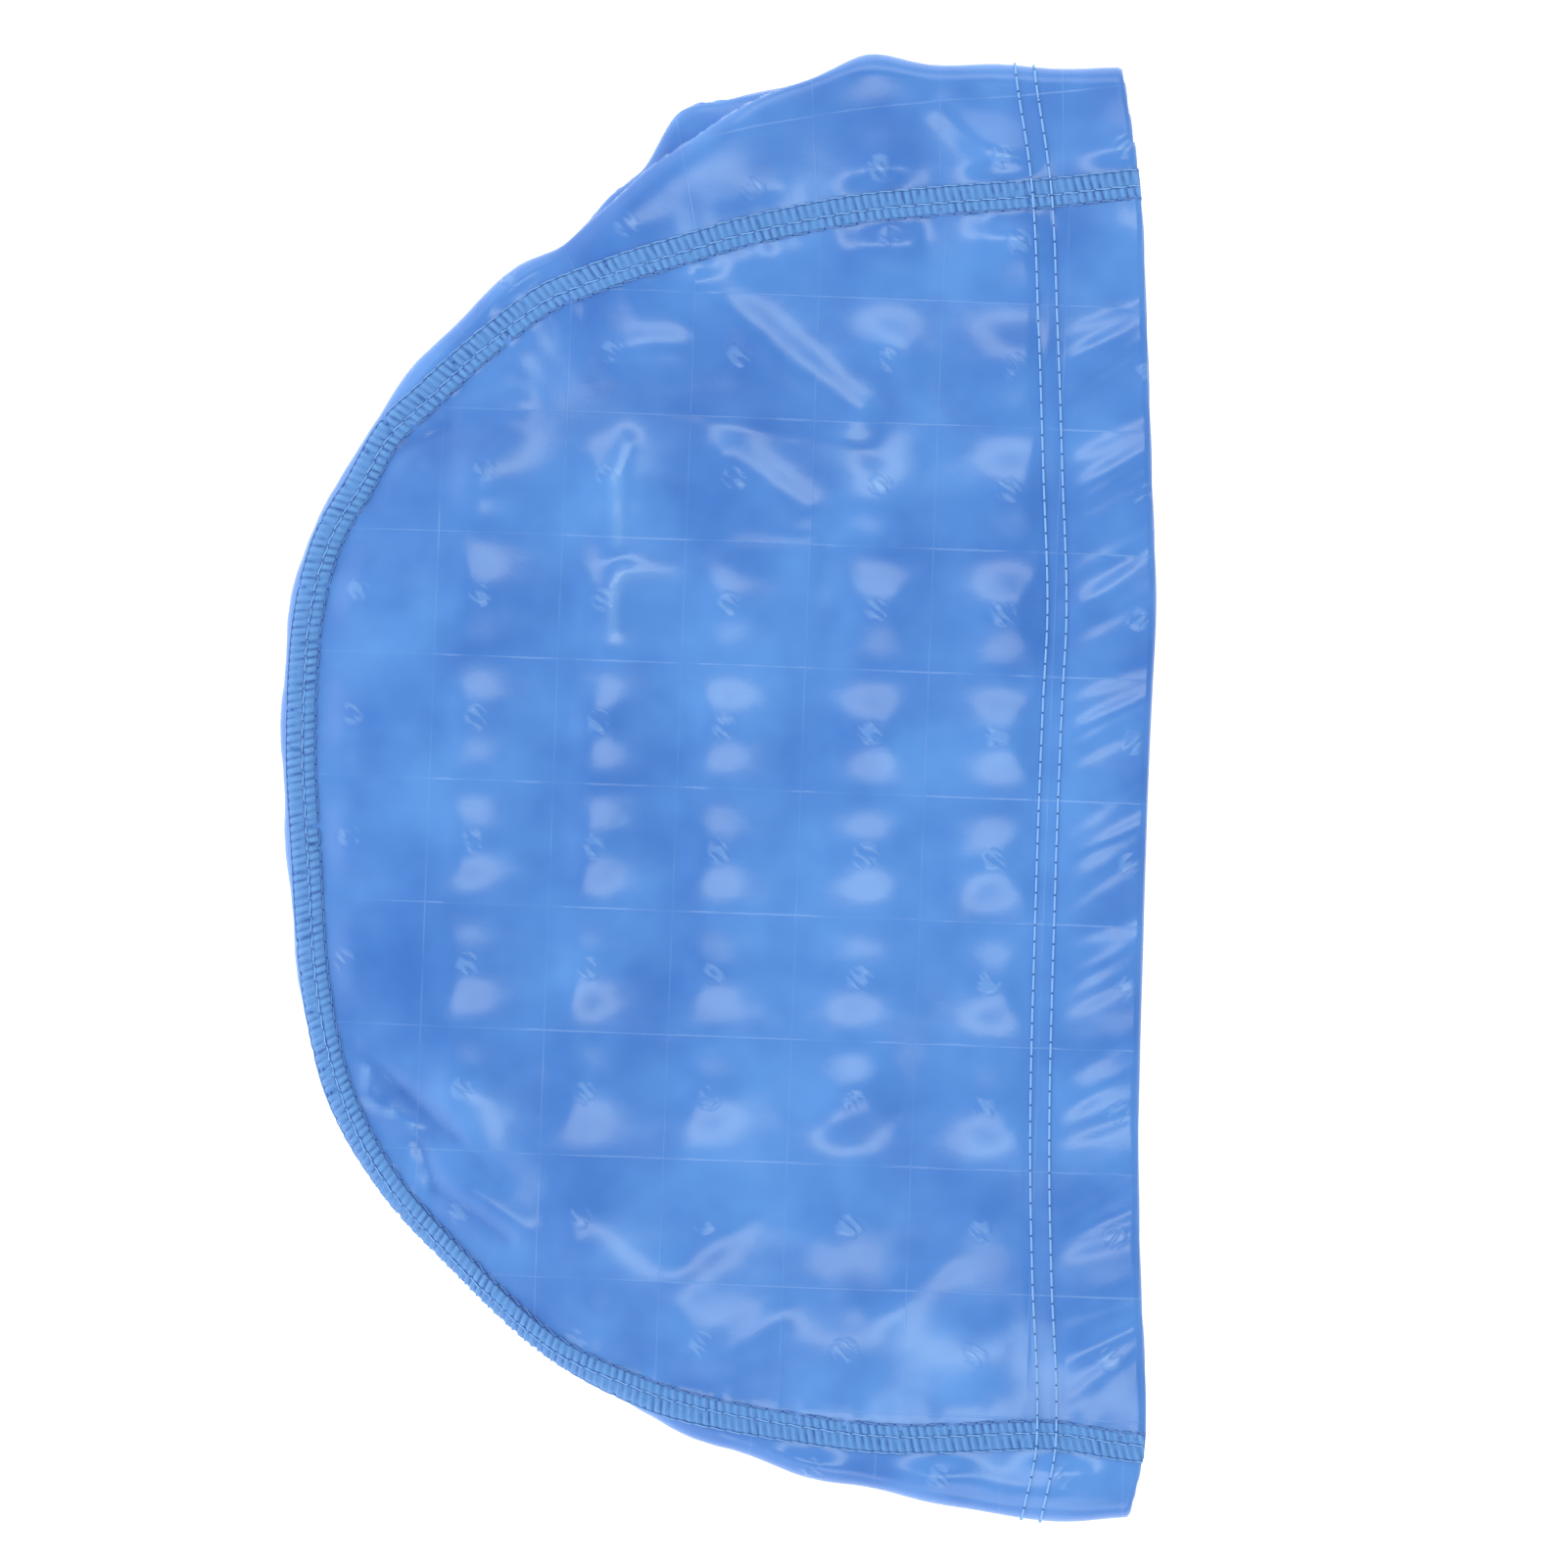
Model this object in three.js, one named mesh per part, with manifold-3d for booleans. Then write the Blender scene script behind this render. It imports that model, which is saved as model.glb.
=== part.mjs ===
// A three-panel swim cap of coated stretch cloth, lying flat on its side.
//
// Two D-shaped side panels lie one above the other. A crown strip, U-shaped in
// section, runs from the rim round the crown and back to the rim, and a flat
// seam band joins each of its edges to a side panel. The rim is a turned-in hem.
//
// Units are millimetres. +X points out of the head opening, +Y along the rim
// towards the forehead end and +Z up from the surface that the cap lies on.

import * as THREE from 'three';
import { mergeVertices } from 'three/addons/utils/BufferGeometryUtils.js';
import Module from 'manifold-3d';

const wasm = await Module();
wasm.setup();

// Cloth and seams
const CLOTH = 1.2;         // one ply of coated stretch cloth
const HEM_PLY = 1.2;       // the cloth turned in behind the rim
const HEM_WIDTH = 21;      // from the rim's edge to the hem's raw edge
const HEM_STEP = 3;        // run over which the second ply starts
const BAND_WIDTH = 6;      // flat seam, edge to edge
const BAND_THICK = 1.8;    // joined cloth and threads
const GAP = 0.3;           // clearance between neighbouring pieces

// How the empty cap lies
const FOLD_RADIUS = 3.3;   // middle of the cloth where the strip turns under
const CREST = 10.8;        // middle of the cloth at the top of the upper panel
const MOUTH_DROP = 0.8;    // how much lower the panel lies at the rim
const MOUTH_RUN = 60;      // distance from the rim over which it drops
const ARCH_RUN = 22;       // distance from the seam over which it rises
const PLEAT_DEPTH = 5;     // how far the pleat's inner fold runs back
const PLEAT_HEIGHTS = { turn: 9.0, back: 7.5, inner: 6.4, out: 5.2, outer: 3.2 };

// Embossed pattern: square cells, each a low four-sided tent
const CELL = 22.7;
const CELL_TURN = THREE.MathUtils.degToRad(-2.1);
const CELL_CORNER = { x: 15.8, y: 22.3 };
const TENT_RISE = 0.8;
const CELL_STEPS = 4;      // mesh steps along one cell

// Outline sections, from the nape end of the rim round the crown to the other.
//   x, y     centre line of the upper seam
//   bearing  direction that the section is cut in, degrees from +X
//   fold     from the seam out to the upper layer's fold
//   outline  from the seam out to the lowest layer's fold, the cap's outline
//   under    from the outline back in to the lower seam
//   rise     height of the cloth's middle at the upper seam
//   pleat    0 for a plain turn, 1 where the strip is pleated into a Z
const SECTIONS = [
  { x: 104.0, y: -122.6, bearing: 270, fold: 12.0, outline: 12.0, under: 23.5, rise: 9.6, pleat: 0 },
  { x: 77.3, y: -120.8, bearing: 270, fold: 13.0, outline: 13.0, under: 23.5, rise: 9.6, pleat: 0 },
  { x: 59.3, y: -118.6, bearing: 270, fold: 15.8, outline: 15.8, under: 23.7, rise: 9.5, pleat: 0 },
  { x: 33.2, y: -119.3, bearing: 268, fold: 10.1, outline: 10.1, under: 24.0, rise: 9.0, pleat: 0 },
  { x: 13.6, y: -117.2, bearing: 264, fold: 7.6, outline: 7.6, under: 24.5, rise: 8.6, pleat: 0 },
  { x: -3.1, y: -114.1, bearing: 258, fold: 4.7, outline: 4.7, under: 25.0, rise: 8.0, pleat: 0 },
  { x: -15.9, y: -110.2, bearing: 250, fold: 2.7, outline: 2.7, under: 25.5, rise: 7.5, pleat: 0 },
  { x: -33.0, y: -101.9, bearing: 238, fold: 0.7, outline: 0.7, under: 26.0, rise: 7.2, pleat: 0 },
  { x: -49.9, y: -85.9, bearing: 226, fold: 0.7, outline: 0.7, under: 26.5, rise: 7.2, pleat: 0 },
  { x: -61.7, y: -72.2, bearing: 216, fold: 1.1, outline: 1.1, under: 27.5, rise: 7.2, pleat: 0 },
  { x: -70.1, y: -55.6, bearing: 204, fold: 2.1, outline: 2.1, under: 28.5, rise: 7.2, pleat: 0 },
  { x: -74.4, y: -36.2, bearing: 190, fold: 2.4, outline: 2.4, under: 29.5, rise: 7.2, pleat: 0 },
  { x: -75.9, y: -14.6, bearing: 184, fold: 3.0, outline: 3.0, under: 30.0, rise: 7.2, pleat: 0 },
  { x: -77.0, y: 8.3, bearing: 180, fold: 3.1, outline: 3.1, under: 30.0, rise: 7.2, pleat: 0 },
  { x: -75.9, y: 29.9, bearing: 173, fold: 3.1, outline: 3.1, under: 29.0, rise: 7.2, pleat: 0 },
  { x: -72.3, y: 45.2, bearing: 158, fold: 3.1, outline: 3.1, under: 27.0, rise: 7.2, pleat: 0 },
  { x: -66.0, y: 56.3, bearing: 148, fold: 3.1, outline: 3.1, under: 25.0, rise: 7.3, pleat: 0 },
  { x: -60.9, y: 65.2, bearing: 140, fold: 3.2, outline: 3.2, under: 23.0, rise: 7.5, pleat: 0 },
  { x: -53.7, y: 72.1, bearing: 133, fold: 4.9, outline: 4.9, under: 21.5, rise: 7.8, pleat: 0 },
  { x: -44.2, y: 80.8, bearing: 127, fold: 6.3, outline: 6.3, under: 20.5, rise: 8.2, pleat: 0 },
  { x: -33.2, y: 89.3, bearing: 117, fold: 7.3, outline: 7.3, under: 19.5, rise: 8.8, pleat: 0 },
  { x: -25.1, y: 92.9, bearing: 112, fold: 8.6, outline: 8.9, under: 17.4, rise: 9.6, pleat: 0.3 },
  { x: -16.6, y: 96.0, bearing: 107, fold: 11.7, outline: 13.6, under: 17.6, rise: 10.6, pleat: 0.8 },
  { x: -10.0, y: 97.9, bearing: 103, fold: 16.0, outline: 17.0, under: 17.5, rise: 11.2, pleat: 0.9 },
  { x: -3.1, y: 99.9, bearing: 99, fold: 19.0, outline: 25.3, under: 22.3, rise: 11.6, pleat: 1 },
  { x: 4.6, y: 102.2, bearing: 96, fold: 22.1, outline: 25.1, under: 18.6, rise: 11.6, pleat: 1 },
  { x: 15.6, y: 104.6, bearing: 93, fold: 25.4, outline: 26.0, under: 16.5, rise: 11.2, pleat: 0.4 },
  { x: 27.1, y: 106.6, bearing: 91, fold: 27.7, outline: 27.7, under: 16.7, rise: 10.8, pleat: 0 },
  { x: 39.3, y: 107.8, bearing: 90, fold: 25.4, outline: 25.4, under: 14.9, rise: 10.6, pleat: 0 },
  { x: 61.5, y: 109.5, bearing: 90, fold: 23.0, outline: 23.0, under: 14.7, rise: 10.5, pleat: 0 },
  { x: 77.7, y: 111.2, bearing: 90, fold: 21.3, outline: 21.3, under: 15.3, rise: 10.5, pleat: 0 },
  { x: 104.0, y: 113.8, bearing: 90, fold: 19.6, outline: 19.6, under: 15.3, rise: 10.5, pleat: 0 },
];

// The rim's edge seen from above, nape end first
const RIM = [
  { x: 74.6, y: -140 }, { x: 75.7, y: -133.6 }, { x: 78.2, y: -120.8 }, { x: 78.4, y: -113.2 },
  { x: 77.5, y: -90.7 }, { x: 77.1, y: -72.7 }, { x: 78.0, y: -23.2 }, { x: 79.5, y: 17.3 },
  { x: 80.2, y: 30.8 }, { x: 79.5, y: 57.8 }, { x: 78.6, y: 84.8 }, { x: 77.3, y: 111.2 },
  { x: 74.4, y: 132.5 }, { x: 73.6, y: 140 },
];

// Main folds of the upper panel: a ridge (rise above 0) or a trough (below 0)
// from one end to the other, with its half width
const FOLDS = [
  { name: 'seam gather, long ridge', x0: -3.5, y0: 93.8, x1: 27.1, y1: 65.9, half: 7, rise: 1.6 },
  { name: 'seam gather, short ridge', x0: -17.0, y0: 84.8, x1: -2.6, y1: 81.2, half: 7, rise: 1.6 },
  { name: 'brow trough, crown half', x0: -54.8, y0: 69.5, x1: -24.2, y1: 68.0, half: 8, rise: -1.4 },
  { name: 'brow trough, rim half', x0: -24.2, y0: 68.0, x1: 26.2, y1: 60.5, half: 11, rise: -1.8 },
  { name: 'upright ridge', x0: -18.4, y0: 67.7, x1: -18.4, y1: 42.5, half: 6, rise: 1.5 },
  { name: 'upright ridge, foot', x0: -18.4, y0: 39.2, x1: -6.2, y1: 39.2, half: 5, rise: 1.1 },
  { name: 'long crease', x0: -18.4, y0: 38.9, x1: -29.6, y1: -49.3, half: 8, rise: 1.3 },
  { name: 'crumpled cell', x0: 16.3, y0: 44.3, x1: 16.3, y1: 28.1, half: 7, rise: -1.4 },
  { name: 'slant above it', x0: 4.6, y0: 58.7, x1: 30.7, y1: 46.1, half: 7, rise: 1.2 },
  { name: 'slant towards the nape', x0: 45.1, y0: -15.1, x1: 22.6, y1: -60.1, half: 6, rise: 1.4 },
  { name: 'nape pucker, crown half', x0: -67.0, y0: -47.9, x1: -51.2, y1: -67.3, half: 6, rise: -1.5 },
  { name: 'nape pucker, rim half', x0: -51.2, y0: -67.3, x1: -31.4, y1: -77.2, half: 7, rise: -1.6 },
  { name: 'nape wrinkle, first', x0: -6.2, y0: -87.1, x1: 4.6, y1: -78.1, half: 7, rise: 1.3 },
  { name: 'nape wrinkle, second', x0: 17.2, y0: -83.5, x1: 24.4, y1: -95.2, half: 7, rise: 1.3 },
];

// Ripples across the hem, one slanting ridge to each row of cells
const RIPPLES = { x: 70, first: -101, last: 82, half: 6, run: 5, rise: 1.1 };

// Finishes
const COATED = { roughness: 0.28, metalness: 0 };
const PANEL_FINISH = { color: 0x5b93e0, ...COATED };
const STRIP_FINISH = { color: 0x5f97e2, ...COATED };
const SEAM_FINISH = { color: 0x6ba6e3, roughness: 0.6, metalness: 0 };

// Mesh steps
const SECTION_STEPS = 2;   // path steps between two sections
const STRIP_STEPS = 15;    // across the strip
const BAND_STEPS = 4;      // across a band that turns with the cloth
const TRIM_HEIGHT = 80;
const FAR = 300;           // beyond the cap in plan
const WELD = 1e-4;         // vertices nearer than this are one
const FADE_RUN = 8;        // distance from the seam over which folds die out

// Smooth value of one column of the section table at t, 0 to 1 along it
function column(name, t) {
  const span = t * (SECTIONS.length - 1);
  const i = Math.min(Math.floor(span), SECTIONS.length - 2);
  const at = (k) => SECTIONS[THREE.MathUtils.clamp(k, 0, SECTIONS.length - 1)][name];
  const f = span - i;
  const before = (at(i + 1) - at(i - 1)) / 2;
  const after = (at(i + 2) - at(i)) / 2;
  const f2 = f * f;
  const f3 = f2 * f;
  return (2 * f3 - 3 * f2 + 1) * at(i) + (f3 - 2 * f2 + f) * before
    + (3 * f2 - 2 * f3) * at(i + 1) + (f3 - f2) * after;
}

const mix = THREE.MathUtils.lerp;
const smooth = (value, low, high) => THREE.MathUtils.smoothstep(value, low, high);

// Cloth's middle line in one section, from the band's inner edge out, round the
// fold and in to the lower band, as a curve of (outward distance, height)
function profileCurve(t) {
  const fold = column('fold', t);
  const outline = column('outline', t);
  const under = column('under', t);
  const rise = column('rise', t);
  const pleat = THREE.MathUtils.clamp(column('pleat', t), 0, 1);
  const r = FOLD_RADIUS;
  const centre = { d: outline - r, z: CLOTH / 2 + r };
  const h = PLEAT_HEIGHTS;
  const pleated = [
    [fold - 2, h.turn + 1.2], [fold, h.turn], [fold - 2, h.back], [fold - PLEAT_DEPTH, h.inner],
    [fold - 2.5, h.out], [outline, h.outer], [outline - 2.5, CLOTH / 2],
  ];
  const turns = pleated.map(([d, z], k) => {
    const angle = Math.PI * k / (pleated.length - 1);
    const plain = { d: centre.d + r * Math.sin(angle), z: centre.z + r * Math.cos(angle) };
    return new THREE.Vector3(mix(plain.d, d, pleat), 0, mix(plain.z, z, pleat));
  });
  const start = new THREE.Vector3(-BAND_WIDTH / 2, 0, rise);
  const end = new THREE.Vector3(outline - under + BAND_WIDTH / 2, 0, CLOTH / 2);
  return new THREE.CatmullRomCurve3([start, ...turns, end], false, 'centripetal');
}

// Point of the cap's frame for a section at t, a distance out and a height
function place(t, d, z) {
  const angle = THREE.MathUtils.degToRad(column('bearing', t));
  return new THREE.Vector3(
    column('x', t) + d * Math.cos(angle),
    column('y', t) + d * Math.sin(angle),
    z,
  );
}

// Closed slab bent into shape: at(u, v, side) gives the point for u and v from
// 0 to 1 and side 0 on the face inside the cap, 1 on the face outside
function slab(stepsU, stepsV, at) {
  const geometry = new THREE.BoxGeometry(1, 1, 1, stepsU, stepsV, 1);
  geometry.deleteAttribute('normal');
  geometry.deleteAttribute('uv');
  const merged = mergeVertices(geometry, WELD);
  const position = merged.attributes.position;
  for (let i = 0; i < position.count; i += 1) {
    const side = position.getZ(i) > 0 ? 1 : 0;
    const point = at(position.getX(i) + 0.5, position.getY(i) + 0.5, side);
    position.setXYZ(i, point.x, point.y, point.z);
  }
  return merged;
}

function toSolid(geometry) {
  const vertProperties = new Float32Array(geometry.attributes.position.array);
  const triVerts = new Uint32Array(geometry.index.array);
  return new wasm.Manifold(new wasm.Mesh({ numProp: 3, vertProperties, triVerts }));
}

// Upright prism over a plan outline, tall enough to pass through every layer
function prism(points) {
  const shape = new THREE.Shape(points.map((p) => new THREE.Vector2(p.x, p.y)));
  const geometry = new THREE.ExtrudeGeometry(shape, { depth: TRIM_HEIGHT, bevelEnabled: false });
  geometry.translate(0, 0, -TRIM_HEIGHT / 2);
  geometry.deleteAttribute('normal');
  geometry.deleteAttribute('uv');
  return toSolid(mergeVertices(geometry, WELD));
}

// Everything to the crown's side of the rim's edge
const rimCurve = new THREE.SplineCurve(RIM.map((p) => new THREE.Vector2(p.x, p.y)));
const rimPoints = rimCurve.getPoints(3 * (RIM.length - 1));
const trim = prism([{ x: -FAR, y: -FAR }, { x: RIM[0].x, y: -FAR }, ...rimPoints,
  { x: RIM[RIM.length - 1].x, y: FAR }, { x: -FAR, y: FAR }]);

// Distance inside the rim's edge
function insideRim(x, y) {
  let k = 0;
  while (k < rimPoints.length - 2 && rimPoints[k + 1].y < y) k += 1;
  const a = rimPoints[k];
  const b = rimPoints[k + 1];
  return mix(a.x, b.x, (y - a.y) / (b.y - a.y)) - x;
}

// Extra ply behind the outer one, full within the hem
function hemPly(x, y) {
  return HEM_PLY * (1 - smooth(insideRim(x, y), HEM_WIDTH, HEM_WIDTH + HEM_STEP));
}

function toMesh(solid, name, finish) {
  const { vertProperties, triVerts } = solid.getMesh();
  const geometry = new THREE.BufferGeometry();
  geometry.setAttribute('position', new THREE.BufferAttribute(vertProperties, 3));
  geometry.setIndex(new THREE.BufferAttribute(triVerts, 1));
  geometry.computeVertexNormals();
  const mesh = new THREE.Mesh(geometry, new THREE.MeshStandardMaterial(finish));
  mesh.name = name;
  return mesh;
}

const PATH_STEPS = SECTION_STEPS * (SECTIONS.length - 1);
const profiles = Array.from({ length: PATH_STEPS + 1 }, (_, i) => profileCurve(i / PATH_STEPS));

// Middle point and outward normal of the cloth, an arc length s along a profile
function clothAt(profile, s) {
  const u = THREE.MathUtils.clamp(s / profile.getLength(), 0, 1);
  const point = profile.getPointAt(u);
  const tangent = profile.getTangentAt(u);
  const end = u === 0 || u === 1;
  const normal = end ? { d: 0, z: u === 0 ? 1 : -1 } : { d: -tangent.z, z: tangent.x };
  return { d: point.x, z: point.z, normal };
}

// The strip, flattened where it rests on the surface
function crownStrip() {
  const first = BAND_WIDTH + GAP;
  const geometry = slab(PATH_STEPS, STRIP_STEPS, (u, v, side) => {
    const profile = profiles[Math.round(u * PATH_STEPS)];
    const last = profile.getLength() - GAP;
    const cloth = clothAt(profile, mix(first, last, v));
    const mid = place(u, cloth.d, cloth.z);
    const offset = side ? CLOTH / 2 : -CLOTH / 2 - hemPly(mid.x, mid.y);
    const z = cloth.z + cloth.normal.z * offset;
    return place(u, cloth.d + cloth.normal.d * offset, Math.max(z, side ? 0 : CLOTH));
  });
  return toSolid(geometry).intersect(trim);
}

// Band that joins the strip to the upper panel and turns over the edge with it
function upperBand() {
  const geometry = slab(PATH_STEPS, BAND_STEPS, (u, v, side) => {
    const cloth = clothAt(profiles[Math.round(u * PATH_STEPS)], v * BAND_WIDTH);
    const offset = (side - 0.5) * BAND_THICK;
    return place(u, cloth.d + cloth.normal.d * offset, cloth.z + cloth.normal.z * offset);
  });
  return toSolid(geometry).intersect(trim);
}

// Distance from the upper seam line to the lower one, along the section
const lowerSeam = (t) => column('outline', t) - column('under', t);

// Band that joins the strip to the lower panel, flat on the surface
function lowerBand() {
  const geometry = slab(PATH_STEPS, 1, (u, v, side) => {
    const d = lowerSeam(u) + (0.5 - v) * BAND_WIDTH;
    return place(u, d, side ? 0 : BAND_THICK);
  });
  return toSolid(geometry).intersect(trim);
}

// Plan outline of a side panel, just inside its seam band
function panelOutline(seam) {
  const inset = BAND_WIDTH / 2 + GAP;
  return Array.from({ length: PATH_STEPS + 1 }, (_, i) => {
    const t = i / PATH_STEPS;
    return place(t, seam(t) - inset, column('rise', t));
  });
}

const upperOutline = panelOutline(() => 0);
const lowerOutline = panelOutline(lowerSeam);

// Nearest point of the upper outline: its distance and the height there
function nearestSeam(x, y) {
  let best = { distance: Infinity, rise: 0 };
  for (let i = 0; i < upperOutline.length - 1; i += 1) {
    const a = upperOutline[i];
    const b = upperOutline[i + 1];
    const run = { x: b.x - a.x, y: b.y - a.y };
    const along = ((x - a.x) * run.x + (y - a.y) * run.y) / (run.x * run.x + run.y * run.y);
    const f = THREE.MathUtils.clamp(along, 0, 1);
    const distance = Math.hypot(x - a.x - f * run.x, y - a.y - f * run.y);
    if (distance < best.distance) best = { distance, rise: mix(a.z, b.z, f) };
  }
  return best;
}

// Height that a fold adds at a point: a rounded ridge that dies out at its ends
function foldRise(fold, x, y) {
  const run = { x: fold.x1 - fold.x0, y: fold.y1 - fold.y0 };
  const along = ((x - fold.x0) * run.x + (y - fold.y0) * run.y) / (run.x ** 2 + run.y ** 2);
  const f = THREE.MathUtils.clamp(along, 0, 1);
  const distance = Math.hypot(x - fold.x0 - f * run.x, y - fold.y0 - f * run.y);
  return fold.rise * Math.exp(-((distance / fold.half) ** 2) * 1.5);
}

const rippleCount = Math.round((RIPPLES.last - RIPPLES.first) / CELL) + 1;
const ripples = Array.from({ length: rippleCount }, (_, i) => {
  const y = RIPPLES.first + i * CELL;
  const { x, run, half, rise } = RIPPLES;
  return { x0: x - run, y0: y - run, x1: x + run, y1: y + run, half, rise };
});

// Plan point for cell coordinates, where whole numbers are cell borders
function cellPoint(u, v) {
  const cos = Math.cos(CELL_TURN);
  const sin = Math.sin(CELL_TURN);
  return {
    x: CELL_CORNER.x + CELL * (u * cos - v * sin),
    y: CELL_CORNER.y + CELL * (u * sin + v * cos),
  };
}

// Tent over each cell, highest at the cell's middle
function tent(u, v) {
  const fromMiddle = (w) => Math.abs(w - Math.floor(w) - 0.5) * 2;
  return TENT_RISE * (1 - Math.max(fromMiddle(u), fromMiddle(v)));
}

// Height of the upper panel's cloth, its middle
function upperHeight(x, y) {
  const seam = nearestSeam(x, y);
  const arch = smooth(seam.distance, -ARCH_RUN / 3, ARCH_RUN);
  const start = smooth(0, -ARCH_RUN / 3, ARCH_RUN);
  const share = (arch - start) / (1 - start);
  const crest = CREST - MOUTH_DROP * (1 - smooth(insideRim(x, y), 0, MOUTH_RUN));
  const fade = smooth(seam.distance, 0, FADE_RUN);
  const relief = [...FOLDS, ...ripples].reduce((sum, fold) => sum + foldRise(fold, x, y), 0);
  return mix(seam.rise, crest, share) + fade * relief;
}

// The grid's reach in whole cells, wide enough to hold the panel
const UPPER_CELLS = { u0: -4.5, u1: 3.5, v0: -7, v1: 4.5 };

function upperPanel() {
  const { u0, u1, v0, v1 } = UPPER_CELLS;
  const stepsU = (u1 - u0) * CELL_STEPS;
  const stepsV = (v1 - v0) * CELL_STEPS;
  const geometry = slab(stepsU, stepsV, (a, b, side) => {
    const u = mix(u0, u1, a);
    const v = mix(v0, v1, b);
    const { x, y } = cellPoint(u, v);
    const offset = side ? CLOTH / 2 + tent(u, v) : -CLOTH / 2 - hemPly(x, y);
    return new THREE.Vector3(x, y, upperHeight(x, y) + offset);
  });
  return toSolid(geometry).intersect(prism(upperOutline)).intersect(trim);
}

// The lower panel lies flat, with the hem's second ply on top of it
function lowerPanel() {
  const plate = { x0: -60, x1: 90, steps: 50 };
  const geometry = slab(plate.steps, 1, (a, b, side) => {
    const x = mix(plate.x0, plate.x1, a);
    const y = mix(-FAR / 2, FAR / 2, b);
    return new THREE.Vector3(x, y, side ? CLOTH + hemPly(x, 0) : 0);
  });
  return toSolid(geometry).intersect(prism(lowerOutline)).intersect(trim);
}

const cap = new THREE.Group();
cap.add(
  toMesh(upperPanel(), 'upper_side_panel', PANEL_FINISH),
  toMesh(lowerPanel(), 'lower_side_panel', PANEL_FINISH),
  toMesh(crownStrip(), 'crown_strip', STRIP_FINISH),
  toMesh(upperBand(), 'upper_flatlock_seam', SEAM_FINISH),
  toMesh(lowerBand(), 'lower_flatlock_seam', SEAM_FINISH),
);

// The origin is under the middle of the cap's bounding box
const box = new THREE.Box3().setFromObject(cap);
cap.position.set(-(box.min.x + box.max.x) / 2, -(box.min.y + box.max.y) / 2, -box.min.z);

export default cap;
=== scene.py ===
"""A three-panel swim cap of coated stretch cloth, lying flat, seen from above.

Every cloth piece is a surface worked out from one table of sections round the
cap's outline, the same table that its solids are made from. Lengths are in
millimetres up to the last step, which puts them into metres.
"""

import math
from functools import partial

import bpy
import numpy as np
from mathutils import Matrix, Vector


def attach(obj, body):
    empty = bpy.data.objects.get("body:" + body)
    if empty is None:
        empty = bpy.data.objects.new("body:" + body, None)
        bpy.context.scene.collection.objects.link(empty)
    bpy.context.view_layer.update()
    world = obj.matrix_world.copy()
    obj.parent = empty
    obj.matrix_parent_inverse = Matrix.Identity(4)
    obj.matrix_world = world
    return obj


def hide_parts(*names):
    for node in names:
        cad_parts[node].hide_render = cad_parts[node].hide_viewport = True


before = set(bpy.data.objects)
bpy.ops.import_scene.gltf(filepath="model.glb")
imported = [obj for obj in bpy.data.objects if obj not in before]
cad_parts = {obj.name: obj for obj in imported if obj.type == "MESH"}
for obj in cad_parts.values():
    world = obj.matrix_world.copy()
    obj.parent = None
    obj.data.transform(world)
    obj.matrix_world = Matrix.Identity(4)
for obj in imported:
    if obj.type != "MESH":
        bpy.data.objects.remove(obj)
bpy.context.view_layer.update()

MM = 0.001

# Cloth and seams
CLOTH = 0.7  # one ply of coated cloth
CLOTH_MIDDLE = 0.9  # height of the cloth's middle where it lies on the floor
BAND_WIDTH = 6.0  # flat seam, edge to edge
BAND_TUCK = 1.5  # how far a panel or strip runs in under the band
STITCH = 3.0  # length of one stitch
YARN = 0.13  # radius of the seams' cover thread
HEM_YARN = 0.22  # and of the two hem rows' thread
FOLD_RADIUS = 3.3  # where the strip turns under
HEM_FOLD = 0.9  # radius of the rim's turned edge
HEM_WIDTH = 21.0  # from the rim's edge to the hem's raw edge
HEM_ROWS = (16.5, 20.0)  # the twin rows of hem stitches, from the rim's edge

# How the empty cap lies
CREST = 10.8  # height of the cloth's middle at the top of the upper panel
MOUTH_DROP = 0.8  # how much lower the panel lies at the rim
MOUTH_RUN = 60.0  # distance from the rim over which it drops
ARCH_RUN = 22.0  # distance from the seam over which it rises
PLEAT_DEPTH = 5.0  # how far the Z runs in behind the fold
PLEAT_LIP = 2.0  # how far in its upper turn starts and ends
PLEAT_TURN = 2.5  # and its lower one
PLEAT_HEIGHTS = (10.2, 9.0, 7.5, 6.4, 5.2, 3.2)  # from the upper turn down to the lower

# The section table's zero lies this far from the origin
OFF_CENTRE = (0.24, 0.21)

# Embossed pattern: square cells, each a low cushion with a small boss
CELL = 22.7
CELL_TURN = math.radians(-2.1)
CELL_CORNER = (15.8, 22.3)
CELL_STEPS = 24
CUSHION_RISE = 0.95
RING = 1.2  # radius of the small raised boss on each cushion
RING_RISE = 0.13
DASH_ANGLE = math.radians(-50)  # the way that the film is drawn over it
DASH_TURN = 0.06  # and the place in x, in metres, past which it is the other way

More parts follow.
